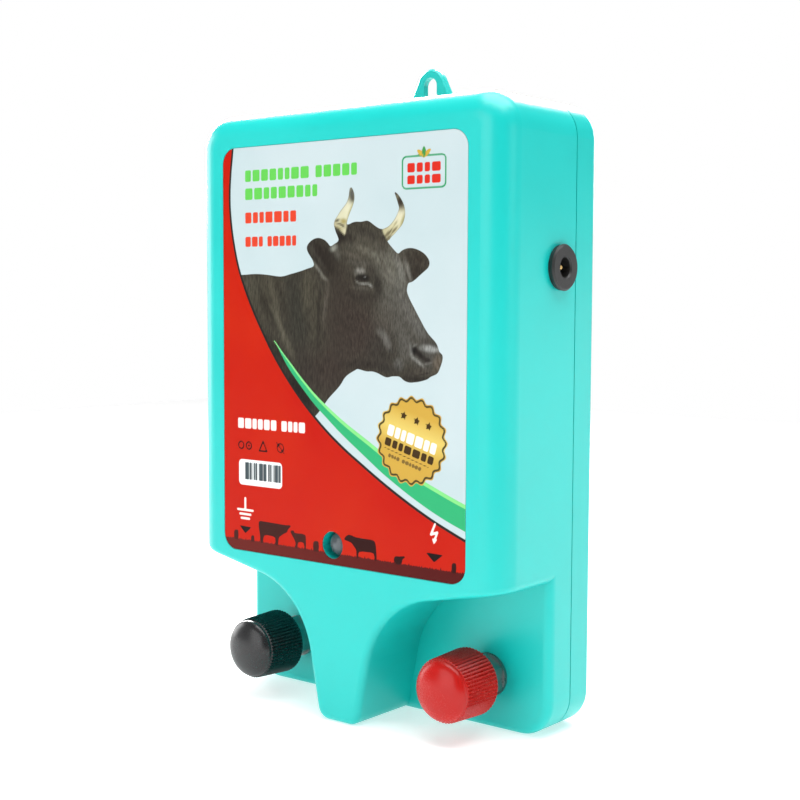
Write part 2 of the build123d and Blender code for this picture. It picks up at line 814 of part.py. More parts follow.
def make_socket_pin():
    """Centre contact: a pin that stands in the mouth, with a thicker shank through the floor."""
    floor = socket_flange_thickness - socket_mouth_depth
    nose = 0.4
    tip = floor + socket_pin_length
    outline = [
        (-socket_barrel_length - 5, 0), (-socket_barrel_length - 5, 0.6), (-socket_barrel_length, 0.6),
        (-socket_barrel_length, socket_pin_shank_radius), (floor, socket_pin_shank_radius),
        (floor, socket_pin_radius), (tip - nose, socket_pin_radius),
        (tip, socket_pin_radius - nose), (tip, 0),
    ]
    return at_socket(turned(outline))


def make_socket_nut():
    ring = hexagon(socket_nut_across_flats) - Circle(socket_barrel_radius + thread_gap)
    plate = Plane.YZ * ring
    return at_socket(Pos(-wall - socket_nut_height, 0, 0) * extrude(plate, amount=socket_nut_height))


def make_socket_contact():
    """Sleeve contact: a leaf along the mouth's upper wall and a solder tag behind the socket."""
    floor = socket_flange_thickness - socket_mouth_depth
    leaf = block(floor, floor + 7, -0.9, 0.9, contact_z, contact_z + 0.3)
    tag = block(-socket_barrel_length - 5, -socket_barrel_length, -1.2, 1.2, 2.6, 3.1)
    stem = block(-socket_barrel_length - 1, floor + 0.5, -0.5, 0.5, contact_z, contact_z + 0.3)
    return at_socket(leaf + tag + stem)


# ---------------------------------------------------------------- leads
def output_lead(side):
    """From a terminal's lug up over the step's inner edge to the output block."""
    x = terminal_sides()[side]
    start_z = terminal_z + lug_ring_radius + 4 - 1 + 2
    entry_x = block_entries(output_block_x)[0 if side == "earth" else 1]
    way = x - entry_x
    y = lug_barrel_y()
    end_y = board_back_y + 5
    return [
        (x, y, start_z),
        (x, y, start_z + 11),
        (x - 0.05 * way, y + 3, start_z + 22),
        (x - 0.3 * way, y + 1.5, start_z + 31),
        (x - 0.65 * way, y - 5, start_z + 31.5),
        (x - 0.92 * way, y - 11, start_z + 28),
        (entry_x, end_y + 0.5, output_block_z[0] - 5.5),
        (entry_x, end_y, output_block_z[0]),
    ]


def supply_lead(polarity):
    """From a tag behind the supply socket down to the input block."""
    entry_x = block_entries(input_block_x)[0 if polarity == "negative" else 1]
    tag_z = 0 if polarity == "positive" else 3.9
    start_x = body_width / 2 - socket_barrel_length - 5
    z = socket_z + tag_z
    end_y = board_back_y + 5
    drop = input_block_z[0]
    return [
        (start_x, socket_y, z),
        (start_x - 4, socket_y, z),
        (start_x - 7, socket_y - 2, z - 6),
        (entry_x + 1.5, socket_y - 6, drop - 3.2),
        (entry_x + 0.4, end_y + 3, drop - 6.5),
        (entry_x, end_y + 0.3, drop - 4),
        (entry_x, end_y, drop),
    ]


# ---------------------------------------------------------------- build and write
def build():
    os.makedirs("parts", exist_ok=True)
    save("front_housing", make_front_housing())
    save("back_cover", make_back_cover())
    save("front_label", make_front_label())
    save("case_screws", *[make_case_screw(x, z) for x, z in boss_places()])

    save("pulse_lamp", make_lamp())
    pins = [rod(x, z, 0.3, board_front_y, board_back_y + 2) for x, z in lamp_pin_places()]
    save("pulse_lamp_legs", *pins)
    save("circuit_board", make_board())
    save("board_screws", *[make_board_screw(x, z) for x, z in board_places()])

    save("pulse_transformer_core", make_transformer_core())
    save("pulse_transformer_former", make_transformer_former())
    save("primary_winding", make_primary_winding())
    save("secondary_winding", make_secondary_winding())
    save("storage_capacitor", make_storage_capacitor())
    save("converter_core", make_converter_core())
    save("converter_former", make_converter_former())
    save("converter_winding", make_converter_winding())
    save("electrolytic_capacitors", *[make_can(x, z) for x, z in can_places])
    save("heat_sink", make_heat_sink())
    save("thyristor", make_thyristor())
    save("thyristor_screw", make_thyristor_screw())
    save("fuse_tube", make_fuse_tube())
    save("fuse_caps", *make_fuse_caps())
    save("fuse_clips", *make_fuse_clips())
    save("control_chip", make_control_chip())
    save("resistors", *[axial_part(-38, z, 1.2, 6.5) for z in (-24, -20)],
         *[axial_part(-24, z, 1.2, 6.5) for z in (-26, -31)])
    save("rectifier_diodes", *[axial_part(x, z, 2.4, 8) for x in (4,) for z in (22.5, 30)],
         *[axial_part(26, z, 2.4, 8) for z in (24, 32)])
    save("output_block", make_terminal_block(
        output_block_x, output_block_z, output_block_height, lead_radius, 5))
    save("input_block", make_terminal_block(
        input_block_x, input_block_z, input_block_height, thin_lead_radius, 5))
    save("block_screws", *make_block_screws())

    save("supply_socket", make_socket_body())
    save("supply_socket_pin", make_socket_pin())
    save("supply_socket_nut", make_socket_nut())
    save("supply_socket_contact", make_socket_contact())
    for polarity in ("positive", "negative"):
        save(f"{polarity}_supply_lead", lead(supply_lead(polarity), thin_lead_radius))

    for side, x in terminal_sides().items():
        place = Pos(x, 0, terminal_z)
        save(f"{side}_stud", place * make_stud())
        save(f"{side}_lug", place * make_lug())
        save(f"{side}_inner_washer", place * flat_ring(
            inner_washer_radius, stud_radius + fit_gap, inner_platform_y,
            inner_platform_y + inner_washer_thickness))
        save(f"{side}_seat_washer", place * flat_ring(
            seat_washer_radius, stud_radius + fit_gap, nut_back_y, platform_y))
        save(f"{side}_nut", place * make_nut())
        save(f"{side}_clamp_washer", place * flat_ring(
            clamp_washer_radius, stud_radius + fit_gap, clamp_front_y, nut_front_y))
        tube, bore = make_knob_insert()
        save(f"{side}_knob", place * (make_knob_cap() - bore))
        save(f"{side}_knob_insert", place * tube)
        save(f"{side}_output_lead", lead(output_lead(side), lead_radius))


build()
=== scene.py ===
import json
import math

import bpy
import numpy as np
from mathutils import Matrix, Vector


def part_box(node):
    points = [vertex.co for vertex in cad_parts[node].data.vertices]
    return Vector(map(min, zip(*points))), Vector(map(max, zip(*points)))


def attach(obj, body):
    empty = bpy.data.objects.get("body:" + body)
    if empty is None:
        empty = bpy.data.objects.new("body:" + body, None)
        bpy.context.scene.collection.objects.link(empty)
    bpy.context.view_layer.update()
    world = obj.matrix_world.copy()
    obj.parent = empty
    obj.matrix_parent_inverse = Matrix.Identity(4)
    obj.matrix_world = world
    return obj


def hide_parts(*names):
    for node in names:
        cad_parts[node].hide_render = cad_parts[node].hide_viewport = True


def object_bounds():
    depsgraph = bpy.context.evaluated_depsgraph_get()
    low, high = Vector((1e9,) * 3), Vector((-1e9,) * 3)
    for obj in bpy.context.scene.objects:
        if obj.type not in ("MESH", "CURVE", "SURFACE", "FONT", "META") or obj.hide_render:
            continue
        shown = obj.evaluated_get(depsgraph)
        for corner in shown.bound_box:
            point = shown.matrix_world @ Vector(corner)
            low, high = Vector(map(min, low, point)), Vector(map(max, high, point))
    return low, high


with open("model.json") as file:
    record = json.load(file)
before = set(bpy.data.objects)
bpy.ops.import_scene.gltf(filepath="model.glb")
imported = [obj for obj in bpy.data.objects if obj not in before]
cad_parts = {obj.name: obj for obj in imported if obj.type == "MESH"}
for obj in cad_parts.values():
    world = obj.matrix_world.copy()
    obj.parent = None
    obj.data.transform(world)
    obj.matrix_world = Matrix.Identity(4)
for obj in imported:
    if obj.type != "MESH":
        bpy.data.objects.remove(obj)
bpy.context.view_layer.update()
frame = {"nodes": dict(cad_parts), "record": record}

mm = 0.001


# helpers for pieces
def newPiece(name):
    made = bpy.context.object
    made.name = name
    made.data.name = name
    return made


def clearSelection():
    if bpy.context.object and bpy.context.object.mode != "OBJECT":
        bpy.ops.object.mode_set(mode="OBJECT")
    bpy.ops.object.select_all(action="DESELECT")


def choose(piece):
    clearSelection()
    piece.select_set(True)
    bpy.context.view_layer.objects.active = piece


def applyTransform(piece):
    choose(piece)
    bpy.ops.object.transform_apply(location=True, rotation=True, scale=True)


def applyModifier(piece, kind, **values):
    choose(piece)
    modifier = piece.modifiers.new(kind.lower(), kind)
    for key, value in values.items():
        setattr(modifier, key, value)
    bpy.ops.object.modifier_apply(modifier=modifier.name)


def tidyMesh(piece, angle=35):
    choose(piece)
    bpy.ops.object.mode_set(mode="EDIT")
    bpy.ops.mesh.select_all(action="SELECT")
    bpy.ops.mesh.remove_doubles(threshold=1e-6)
    bpy.ops.mesh.normals_make_consistent(inside=False)
    bpy.ops.object.mode_set(mode="OBJECT")
    bpy.ops.object.shade_smooth_by_angle(angle=math.radians(angle))


def selectWhere(piece, kind, test):
    choose(piece)
    bpy.ops.object.mode_set(mode="EDIT")
    bpy.ops.mesh.select_mode(type=kind)
    bpy.ops.mesh.select_all(action="DESELECT")
    bpy.ops.object.mode_set(mode="OBJECT")
    parts = {"VERT": piece.data.vertices, "EDGE": piece.data.edges, "FACE": piece.data.polygons}[kind]
    for part in parts:
        part.select = bool(test(part))
    bpy.ops.object.mode_set(mode="EDIT")


# materials
def newMaterial(name):
    made = bpy.data.materials.new(name)
    made.use_nodes = True
    tree = made.node_tree
    shader = tree.nodes["Principled BSDF"]
    return made, tree, shader


def joinTo(tree, source, target):
    tree.links.new(source, target)


def mathNode(tree, operation, first, second=0.0):
    node = tree.nodes.new("ShaderNodeMath")
    node.operation = operation
    for socket, value in zip(node.inputs, (first, second)):
        if isinstance(value, (int, float)):
            socket.default_value = value
        else:
            tree.links.new(value, socket)
    return node.outputs[0]


def mixColour(tree, factor, first, second):
    node = tree.nodes.new("ShaderNodeMix")
    node.data_type = "RGBA"
    for socket, value in ((node.inputs[0], factor), (node.inputs[6], first), (node.inputs[7], second)):
        if isinstance(value, (int, float)):
            socket.default_value = value
        elif isinstance(value, (tuple, list)):
            socket.default_value = (*value, 1.0) if len(value) == 3 else value
        else:
            tree.links.new(value, socket)
    return node.outputs[2]


def rangeNode(tree, value, low, high, toLow, toHigh):
    node = tree.nodes.new("ShaderNodeMapRange")
    node.inputs["From Min"].default_value = low
    node.inputs["From Max"].default_value = high
    node.inputs["To Min"].default_value = toLow
    node.inputs["To Max"].default_value = toHigh
    tree.links.new(value, node.inputs["Value"])
    return node.outputs[0]


def objectPlace(tree, scale=(1, 1, 1), turn=(0, 0, 0)):
    coordinates = tree.nodes.new("ShaderNodeTexCoord")
    mapping = tree.nodes.new("ShaderNodeMapping")
    mapping.inputs["Scale"].default_value = scale
    mapping.inputs["Rotation"].default_value = turn
    tree.links.new(coordinates.outputs["Object"], mapping.inputs["Vector"])
    return mapping.outputs[0]


def noiseNode(tree, place, scale, detail=3.0, rough=0.55):
    node = tree.nodes.new("ShaderNodeTexNoise")
    node.inputs["Scale"].default_value = scale
    node.inputs["Detail"].default_value = detail
    node.inputs["Roughness"].default_value = rough
    tree.links.new(place, node.inputs["Vector"])
    return node.outputs[0]


def addBump(tree, shader, height, strength, distance):
    node = tree.nodes.new("ShaderNodeBump")
    node.inputs["Strength"].default_value = strength
    node.inputs["Distance"].default_value = distance
    tree.links.new(height, node.inputs["Height"])
    tree.links.new(node.outputs[0], shader.inputs["Normal"])


def surfaceMaterial(name, values):
    made, tree, shader = newMaterial(name)
    place = objectPlace(tree, values.get("stretch", (1, 1, 1)), values.get("turn", (0, 0, 0)))
    broad = noiseNode(tree, place, values.get("broadScale", 35.0), 3.0)
    fine = noiseNode(tree, place, values.get("fineScale", 1400.0), 4.0, 0.6)
    low, high = values["colours"]
    blend = rangeNode(tree, broad, 0.3, 0.7, 0.0, 1.0)
    joinTo(tree, mixColour(tree, blend, low, high), shader.inputs["Base Color"])
    rough = values["rough"]
    worn = mathNode(tree, "ADD", mathNode(tree, "MULTIPLY", broad, 0.5),
                    mathNode(tree, "MULTIPLY", fine, 0.5))
    joinTo(tree, rangeNode(tree, worn, 0.3, 0.7, rough[0], rough[1]), shader.inputs["Roughness"])
    shader.inputs["Metallic"].default_value = values.get("metal", 0.0)
    shader.inputs["IOR"].default_value = values.get("ior", 1.5)
    if "transmission" in values:
        shader.inputs["Transmission Weight"].default_value = values["transmission"]
    if "coat" in values:
        shader.inputs["Coat Weight"].default_value = values["coat"]
        shader.inputs["Coat Roughness"].default_value = 0.12
    addBump(tree, shader, fine, values.get("bump", 0.15), values.get("bumpDepth", 0.00006))
    return made


surfaces = {
    "case": dict(colours=((0.001, 0.53, 0.49), (0.002, 0.57, 0.525)), rough=(0.30, 0.42),
                 broadScale=18.0, fineScale=2600.0, bump=0.10, bumpDepth=0.00005),
    "cover": dict(colours=((0.002, 0.52, 0.48), (0.004, 0.56, 0.515)), rough=(0.30, 0.42),
                  broadScale=18.0, fineScale=2600.0, bump=0.10, bumpDepth=0.00005),
    "lamp": dict(colours=((0.09, 0.11, 0.12), (0.12, 0.14, 0.155)), rough=(0.10, 0.20),
                 transmission=0.2, ior=1.49, bump=0.02),
    # steel is darkened and tinted teal: painted shade and a painted reflection of the teal case
    "steel": dict(colours=((0.20, 0.24, 0.24), (0.30, 0.34, 0.33)), rough=(0.22, 0.42), metal=1.0,
                  broadScale=160.0, bump=0.12),
    "red_knob": dict(colours=((0.44, 0.006, 0.004), (0.52, 0.009, 0.006)), rough=(0.22, 0.32), ior=1.38,
                     broadScale=60.0, fineScale=2200.0, bump=0.14),
    "black_knob": dict(colours=((0.008, 0.008, 0.009), (0.014, 0.014, 0.015)), rough=(0.22, 0.34),
                       broadScale=60.0, fineScale=2200.0, bump=0.14),
    "brass": dict(colours=((0.62, 0.40, 0.14), (0.74, 0.52, 0.22)), rough=(0.22, 0.40), metal=1.0,
                  broadScale=220.0),
    "tinned": dict(colours=((0.60, 0.60, 0.58), (0.72, 0.71, 0.69)), rough=(0.25, 0.45), metal=1.0,
                   broadScale=220.0),
    "board": dict(colours=((0.008, 0.11, 0.035), (0.012, 0.15, 0.05)), rough=(0.28, 0.45),
                  broadScale=140.0, coat=0.3),
    "lamination": dict(colours=((0.045, 0.045, 0.048), (0.10, 0.10, 0.10)), rough=(0.45, 0.65),
                       metal=0.6, stretch=(1, 14, 1), broadScale=120.0, bump=0.4),
    "former": dict(colours=((0.62, 0.60, 0.50), (0.72, 0.70, 0.60)), rough=(0.40, 0.55)),
    "winding": dict(colours=((0.36, 0.11, 0.03), (0.55, 0.20, 0.06)), rough=(0.25, 0.4), metal=0.8,
                    stretch=(1, 1, 16), broadScale=120.0, bump=0.6),
    "secondary": dict(colours=((0.48, 0.27, 0.03), (0.62, 0.38, 0.06)), rough=(0.2, 0.35),
                      stretch=(1, 1, 10), broadScale=90.0, bump=0.4),
    "film_case": dict(colours=((0.40, 0.015, 0.008), (0.52, 0.03, 0.015)), rough=(0.25, 0.4)),
    "can": dict(colours=((0.008, 0.010, 0.03), (0.015, 0.02, 0.05)), rough=(0.25, 0.4)),
    "ferrite": dict(colours=((0.02, 0.02, 0.022), (0.045, 0.045, 0.045)), rough=(0.5, 0.7), bump=0.4),
    "sink": dict(colours=((0.60, 0.61, 0.62), (0.72, 0.73, 0.74)), rough=(0.28, 0.45), metal=1.0,
                 stretch=(1, 20, 1), broadScale=160.0, bump=0.3),
    "device": dict(colours=((0.010, 0.010, 0.011), (0.022, 0.022, 0.023)), rough=(0.45, 0.65)),
    "resistor": dict(colours=((0.52, 0.36, 0.18), (0.62, 0.46, 0.26)), rough=(0.35, 0.5)),
    "fuse_glass": dict(colours=((0.86, 0.90, 0.90), (0.90, 0.93, 0.93)), rough=(0.03, 0.08),
                       transmission=0.95, ior=1.5, bump=0.01),
    "block": dict(colours=((0.015, 0.12, 0.04), (0.025, 0.17, 0.06)), rough=(0.4, 0.55)),
    "socket": dict(colours=((0.012, 0.012, 0.012), (0.020, 0.020, 0.020)), rough=(0.42, 0.58),
                   broadScale=200.0, fineScale=3000.0, bump=0.35, bumpDepth=0.00008),
    "red_wire": dict(colours=((0.45, 0.015, 0.01), (0.55, 0.025, 0.015)), rough=(0.3, 0.45)),
    "black_wire": dict(colours=((0.010, 0.010, 0.010), (0.02, 0.02, 0.02)), rough=(0.3, 0.45)),
}


def dressNodes():
    made = {slot: surfaceMaterial(slot, values) for slot, values in surfaces.items()}
    record = frame["record"]
    slots = {part["node"]: part["material_slot"] for part in record["subparts"]}
    for name, piece in frame["nodes"].items():
        slot = slots[name]
        if slot not in made:
            continue
        for holder in piece.material_slots:
            holder.material = made[slot]
        if not piece.material_slots:
            piece.data.materials.append(made[slot])
    return made


materials = dressNodes()
print("stage: cad nodes dressed")


# the printed front: distances in millimetres from the label's middle, negative inside
def smoothOutline(points, closed=True, steps=3):
    given = [np.array(point, float) for point in points]
    count = len(given)
    spans = range(count if closed else count - 1)
    made = []
    for index in spans:
        if closed:
            p0, p1, p2, p3 = (given[(index + step) % count] for step in (-1, 0, 1, 2))
        else:
            p0, p1, p2, p3 = (given[min(max(index + step, 0), count - 1)] for step in (-1, 0, 1, 2))
        for step in range(steps):
            t = step / steps
            made.append(0.5 * (2 * p1 + (p2 - p0) * t + (2 * p0 - 5 * p1 + 4 * p2 - p3) * t**2
                               + (3 * p1 - p0 - 3 * p2 + p3) * t**3))
    if not closed:
        made.append(given[-1])
    return [tuple(point) for point in made]


def polygonDistance(x, z, points):
    best = np.full(x.shape, 1e9)
    inside = np.zeros(x.shape, bool)
    for (ax, az), (bx, bz) in zip(points, points[1:] + points[:1]):
        ex, ez = bx - ax, bz - az
        wx, wz = x - ax, z - az
        t = np.clip((wx * ex + wz * ez) / (ex * ex + ez * ez + 1e-12), 0, 1)
        best = np.minimum(best, np.hypot(wx - ex * t, wz - ez * t))
        inside ^= ((az > z) != (bz > z)) & (x < (bx - ax) * (z - az) / (bz - az + 1e-12) + ax)
    return np.where(inside, -best, best)


def boxDistance(x, z, cx, cz, width, height, turn=0.0, radius=0.2):
    c, s = math.cos(math.radians(turn)), math.sin(math.radians(turn))
    u = (x - cx) * c + (z - cz) * s
    v = -(x - cx) * s + (z - cz) * c
    qx = np.abs(u) - (width / 2 - radius)
    qz = np.abs(v) - (height / 2 - radius)
    return np.hypot(np.maximum(qx, 0), np.maximum(qz, 0)) + np.minimum(np.maximum(qx, qz), 0) - radius


def segmentDistance(x, z, ax, az, bx, bz, thick):
    ex, ez = bx - ax, bz - az
    wx, wz = x - ax, z - az
    t = np.clip((wx * ex + wz * ez) / (ex * ex + ez * ez), 0, 1)
    return np.hypot(wx - ex * t, wz - ez * t) - thick / 2


# lower left edge of the pale field, from the label's top to its right side
redEdge = [(-51.5, 80), (-52.0, 74), (-52.8, 68), (-53.4, 62), (-53.6, 56), (-53.2, 50), (-52.3, 43.5),
           (-51.1, 38), (-49.8, 33), (-48.2, 28.5), (-46.2, 24), (-43.2, 18), (-39.8, 12), (-36, 6),
           (-32, 0), (-27.4, -6), (-22.2, -12), (-16.4, -18), (-9.7, -24), (-4.2, -28.4), (0, -31.4),
           (5, -34.7), (10, -37.7), (15, -40.7), (20, -43.6), (26, -46.9), (32, -50), (38, -52.9),
           (44, -55.6), (50, -58), (56, -60.3), (64, -63)]
swooshTop = [(-30.2, 4.4), (-26, 0), (-22, -3.8), (-18, -7.7), (-14, -11.3), (-10, -14.6), (-5.2, -18.0),
             (0, -21.4), (5, -24.4), (10, -27.1), (15, -29.8), (20, -32.6), (25, -35.2), (30, -37.7),
             (35, -39.9), (40, -41.9), (45, -43.8), (50, -45.7), (56, -47.8), (64, -50.4)]
swooshLow = [(64, -59.6), (56, -56.7), (50, -54.6), (45, -52.6), (40, -50.4), (35, -48.0), (30, -45.4),
             (25, -42.6), (20, -39.7), (15, -36.4), (10, -33.1), (5, -29.8), (0, -26.3), (-4, -23.2),
             (-8, -20.2), (-12, -16.8), (-16, -13), (-20, -9), (-24, -4.6), (-28, 1.0)]
neckTop = [(-60, 28.6), (-47.8, 28.3), (-40, 28.6), (-34, 28.3), (-27, 27.6), (-22, 28.5), (-18, 29.3),
           (-14, 30.3), (-11, 31.2)]
leftEar = [(-11.3, 33.0), (-12.4, 34.5), (-13.6, 36.0), (-14.2, 37.3), (-14.0, 38.5), (-13.1, 39.5),
           (-11.9, 40.3), (-10.4, 40.9), (-8.7, 41.1), (-7.0, 40.8), (-5.5, 40.2), (-4.2, 39.2),
           (-3.0, 38.1), (-2.0, 38.4), (-1.0, 38.9), (0.3, 39.5), (0.8, 40.3)]
poll = [(0.3, 41.6), (-0.5, 43.0), (-1.0, 44.4), (-1.2, 45.8), (1.0, 46.5), (4.0, 45.6), (5.6, 45.5),
        (7.0, 46.0), (9.0, 46.3), (11.2, 46.2), (13.6, 46.5), (15.0, 46.1), (16.5, 45.2), (18.0, 44.3),
        (19.5, 43.6), (21.0, 43.3), (22.5, 42.0), (23.3, 40.4), (22.9, 39.3), (24.2, 37.8), (25.5, 36.6),
        (27.0, 35.3)]
rightEar = [(27.9, 35.1), (29.0, 35.9), (30.5, 36.5), (32.5, 36.8), (34.5, 36.6), (36.5, 36.0),
            (38.5, 35.0), (40.0, 33.7), (40.9, 32.3), (40.9, 31.0), (40.2, 29.9), (38.5, 28.7),
            (36.8, 27.5), (35.0, 26.2), (33.5, 25.4), (32.2, 25.1)]
faceFront = [(31.8, 24.4), (31.5, 23.2), (31.5, 22.2), (32.1, 20.7), (33.2, 18.8), (34.5, 16.9),
             (36.0, 14.6), (37.5, 12.4), (39.0, 10.2), (40.5, 8.3), (42.0, 6.9), (43.3, 5.8),
             (44.3, 4.6), (44.9, 3.3), (45.3, 2.3), (46.2, 1.6), (46.7, 0.8), (46.6, -0.6),
             (46.1, -2.0), (45.5, -3.4), (44.9, -4.5), (44.0, -5.3), (42.7, -5.8), (41.5, -6.3),
             (40.5, -7.0), (39.0, -7.5), (37.0, -8.0), (35.0, -8.3), (33.0, -8.5), (31.2, -8.2),
             (30.0, -7.7), (29.0, -7.0), (28.0, -6.6), (26.5, -6.6), (25.0, -6.7), (23.3, -7.1),
             (22.0, -7.0), (20.5, -6.5), (19.0, -5.9), (17.5, -5.5), (16.0, -5.3), (14.0, -5.4),
             (12.0, -5.1), (10.5, -4.8), (9.5, -4.7), (8.5, -5.2), (7.0, -5.9), (5.0, -7.0),
             (3.5, -8.3), (2.0, -10.3), (0.0, -12.3), (-2.0, -14.0), (-4.0, -15.8), (-5.6, -17.6),
             (-10.6, -23.4), (-14, -30), (-60, -30)]
leftHorn = [(-1.2, 45.2), (-1.2, 46.4), (-0.7, 47.4), (0.3, 48.5), (1.4, 49.9), (2.7, 51.2), (3.9, 52.3),
            (4.9, 53.6), (5.5, 55.3), (5.8, 57.0), (6.1, 58.0), (6.6, 58.2), (7.3, 57.5), (7.9, 56.2),
            (8.1, 54.8), (7.9, 53.2), (7.2, 51.5), (6.2, 49.7), (5.3, 47.9), (4.7, 46.2), (4.5, 44.6),
            (4.2, 42.9), (3.6, 41.8), (2.6, 42.6), (0.8, 43.8)]
rightHorn = [(20.6, 43.0), (21.6, 43.6), (23.0, 44.1), (24.2, 44.9), (25.5, 46.1), (26.7, 47.6),
             (27.5, 49.1), (27.9, 50.3), (27.5, 51.6), (26.9, 53.2), (26.2, 54.8), (25.9, 55.7),
             (26.5, 55.6), (27.8, 54.5), (29.0, 53.0), (29.9, 51.5), (30.4, 49.9), (30.5, 48.0),
             (30.1, 46.3), (29.2, 44.6), (27.6, 43.1), (26.0, 41.7), (24.5, 40.6), (23.0, 39.5)]
cowOutline = neckTop + leftEar + poll + rightEar + faceFront

# tone patches of the cow: middle, half sizes, turn, sRGB tone, strength
neckTones = [
    (-38, 22, 9, 9, 0, (70, 66, 54), 0.6), (-30, 18, 1.4, 12, 18, (92, 88, 74), 0.55),
    (-27, 8, 1.6, 9, 30, (98, 94, 80), 0.55), (-22, 1, 1.3, 6, 32, (96, 92, 78), 0.45),
    (-36.5, 20, 1.0, 9, 24, (46, 42, 34), 0.6), (-31.5, 13, 0.9, 9, 30, (44, 40, 33), 0.65),
    (-25.5, 17, 1.1, 11, 20, (50, 46, 38), 0.5), (-19, 14, 5, 16, 8, (48, 48, 42), 0.6),
    (-14.5, 22, 2.6, 8, -4, (84, 80, 66), 0.5), (-10.5, 16, 2.2, 13, -3, (76, 72, 60), 0.4),
    (-8.6, 12, 0.9, 14, -2, (40, 36, 31), 0.6), (-5.2, 18, 1.0, 6.5, -9, (104, 98, 88), 0.6),
    (-14, -6, 7, 9, 35, (52, 44, 40), 0.6), (-2, -6, 8, 9, 10, (58, 46, 42), 0.6),
    (-30, 0, 9, 3, -42, (34, 32, 26), 0.7), (-18, -14, 10, 3.2, -42, (24, 18, 16), 0.85),
    (-43, 24, 6, 4, 0, (84, 82, 70), 0.4), (-7, 26, 3, 3, 0, (80, 76, 66), 0.4),
]
headTones = [
    (10, 8, 13, 11, 0, (62, 52, 47), 0.8), (2, 16, 7, 16, 0, (58, 50, 44), 0.75),
    (14, 38, 12, 6, -8, (82, 78, 68), 0.7), (24, 31, 7, 8, -35, (104, 102, 92), 0.75),
    (8, 44.5, 6, 1.6, 0, (64, 60, 50), 0.7), (14, 42, 6, 1.6, -14, (54, 50, 44), 0.6),
    (1.5, 41.0, 3, 2.2, 0, (38, 33, 29), 0.9), (6, 40.5, 3, 1.6, -30, (44, 39, 33), 0.7),
    (12, 36.6, 5, 1.3, -22, (104, 100, 88), 0.6), (19, 33.4, 5.5, 1.2, -32, (112, 110, 98), 0.6),
    (8, 34.4, 5, 1.0, -12, (96, 90, 80), 0.45), (24, 27.5, 4.5, 1.3, -52, (122, 120, 110), 0.65),
    (28.5, 30, 1.4, 5.5, 25, (126, 124, 116), 0.7), (21, 38.5, 2.0, 3.2, 20, (60, 54, 46), 0.6),
    (21.5, 30.5, 1.0, 4.0, 30, (66, 60, 52), 0.55), (29, 25, 2.2, 4, 12, (112, 112, 104), 0.6),
    (25, 20, 6, 5.5, -25, (96, 94, 86), 0.7), (33, 15, 2.4, 9, 33, (112, 110, 104), 0.65),
    (29, 12, 6, 9, 25, (92, 90, 84), 0.65), (22, 14, 6, 6, 15, (84, 80, 72), 0.6),
    (38, 9, 2.4, 4.5, 40, (100, 99, 94), 0.6), (20, 2, 7, 6, 0, (56, 52, 47), 0.7),
    (22.5, 5.6, 1.5, 3.6, 30, (112, 110, 104), 0.75), (20.0, 8.2, 1.4, 2.2, 60, (96, 94, 88), 0.6),
    (28, -2.4, 2.2, 2.2, 0, (98, 97, 92), 0.75), (31, 3, 3.4, 4.4, 0, (98, 96, 90), 0.55),
    (24, -4.2, 5, 1.6, 0, (52, 49, 45), 0.6), (12, -3.0, 9, 1.7, 0, (48, 42, 38), 0.7),
    (18.8, 24.6, 2.2, 4.2, 12, (42, 38, 33), 0.85), (12, 20.5, 8, 2.4, -5, (54, 48, 43), 0.6),
    (11.5, 31.6, 5.5, 1.3, -8, (92, 88, 80), 0.55), (15.5, 29.4, 2.0, 2.2, 0, (54, 49, 43), 0.7),
    (10.7, 29.2, 2.1, 1.1, -6, (138, 136, 128), 0.95), (8.9, 28.2, 0.9, 0.9, 0, (112, 110, 100), 0.7),
    (12.2, 26.9, 3.3, 1.35, -9, (28, 25, 22), 1.0), (9.4, 26.3, 1.1, 0.8, -30, (40, 36, 32), 0.9),
    (12.4, 24.9, 2.7, 0.42, -2, (128, 127, 120), 0.95), (15.2, 24.4, 1.3, 0.42, -32, (132, 131, 124), 0.95),
    (9.4, 25.6, 0.9, 0.36, -34, (118, 116, 108), 0.85), (11.5, 23.4, 4.4, 0.8, -4, (84, 80, 72), 0.6),
    (12.9, 27.3, 0.34, 0.3, 0, (150, 150, 146), 0.6),
]
earTones = [
    (-9, 36, 3.2, 6, 40, (40, 34, 30), 0.85), (-4.6, 33, 4.4, 6.4, 30, (44, 38, 33), 0.85),
    (-11.8, 36.9, 1.4, 3.4, 20, (72, 68, 60), 0.6), (-8.8, 30.2, 0.6, 4.2, 42, (118, 116, 106), 0.8),
    (-6.0, 27.0, 0.6, 1.8, 62, (110, 108, 98), 0.7), (-8.0, 33.0, 0.8, 3.6, 40, (74, 70, 62), 0.5),
    (-1.4, 37.4, 1.6, 1.1, 20, (150, 152, 140), 0.85), (0.2, 35.4, 1.4, 2.2, 20, (92, 90, 82), 0.6),
    (34.5, 33.4, 6.4, 2.6, -8, (58, 52, 45), 0.85), (34.4, 28.4, 3.6, 2.6, 30, (50, 44, 38), 0.85),
    (38.6, 31.6, 1.8, 2.4, 0, (66, 60, 52), 0.6), (31.9, 29.2, 0.8, 4.6, 20, (124, 122, 114), 0.75),
    (29.8, 34.0, 2.2, 0.8, -40, (70, 64, 56), 0.6),
]
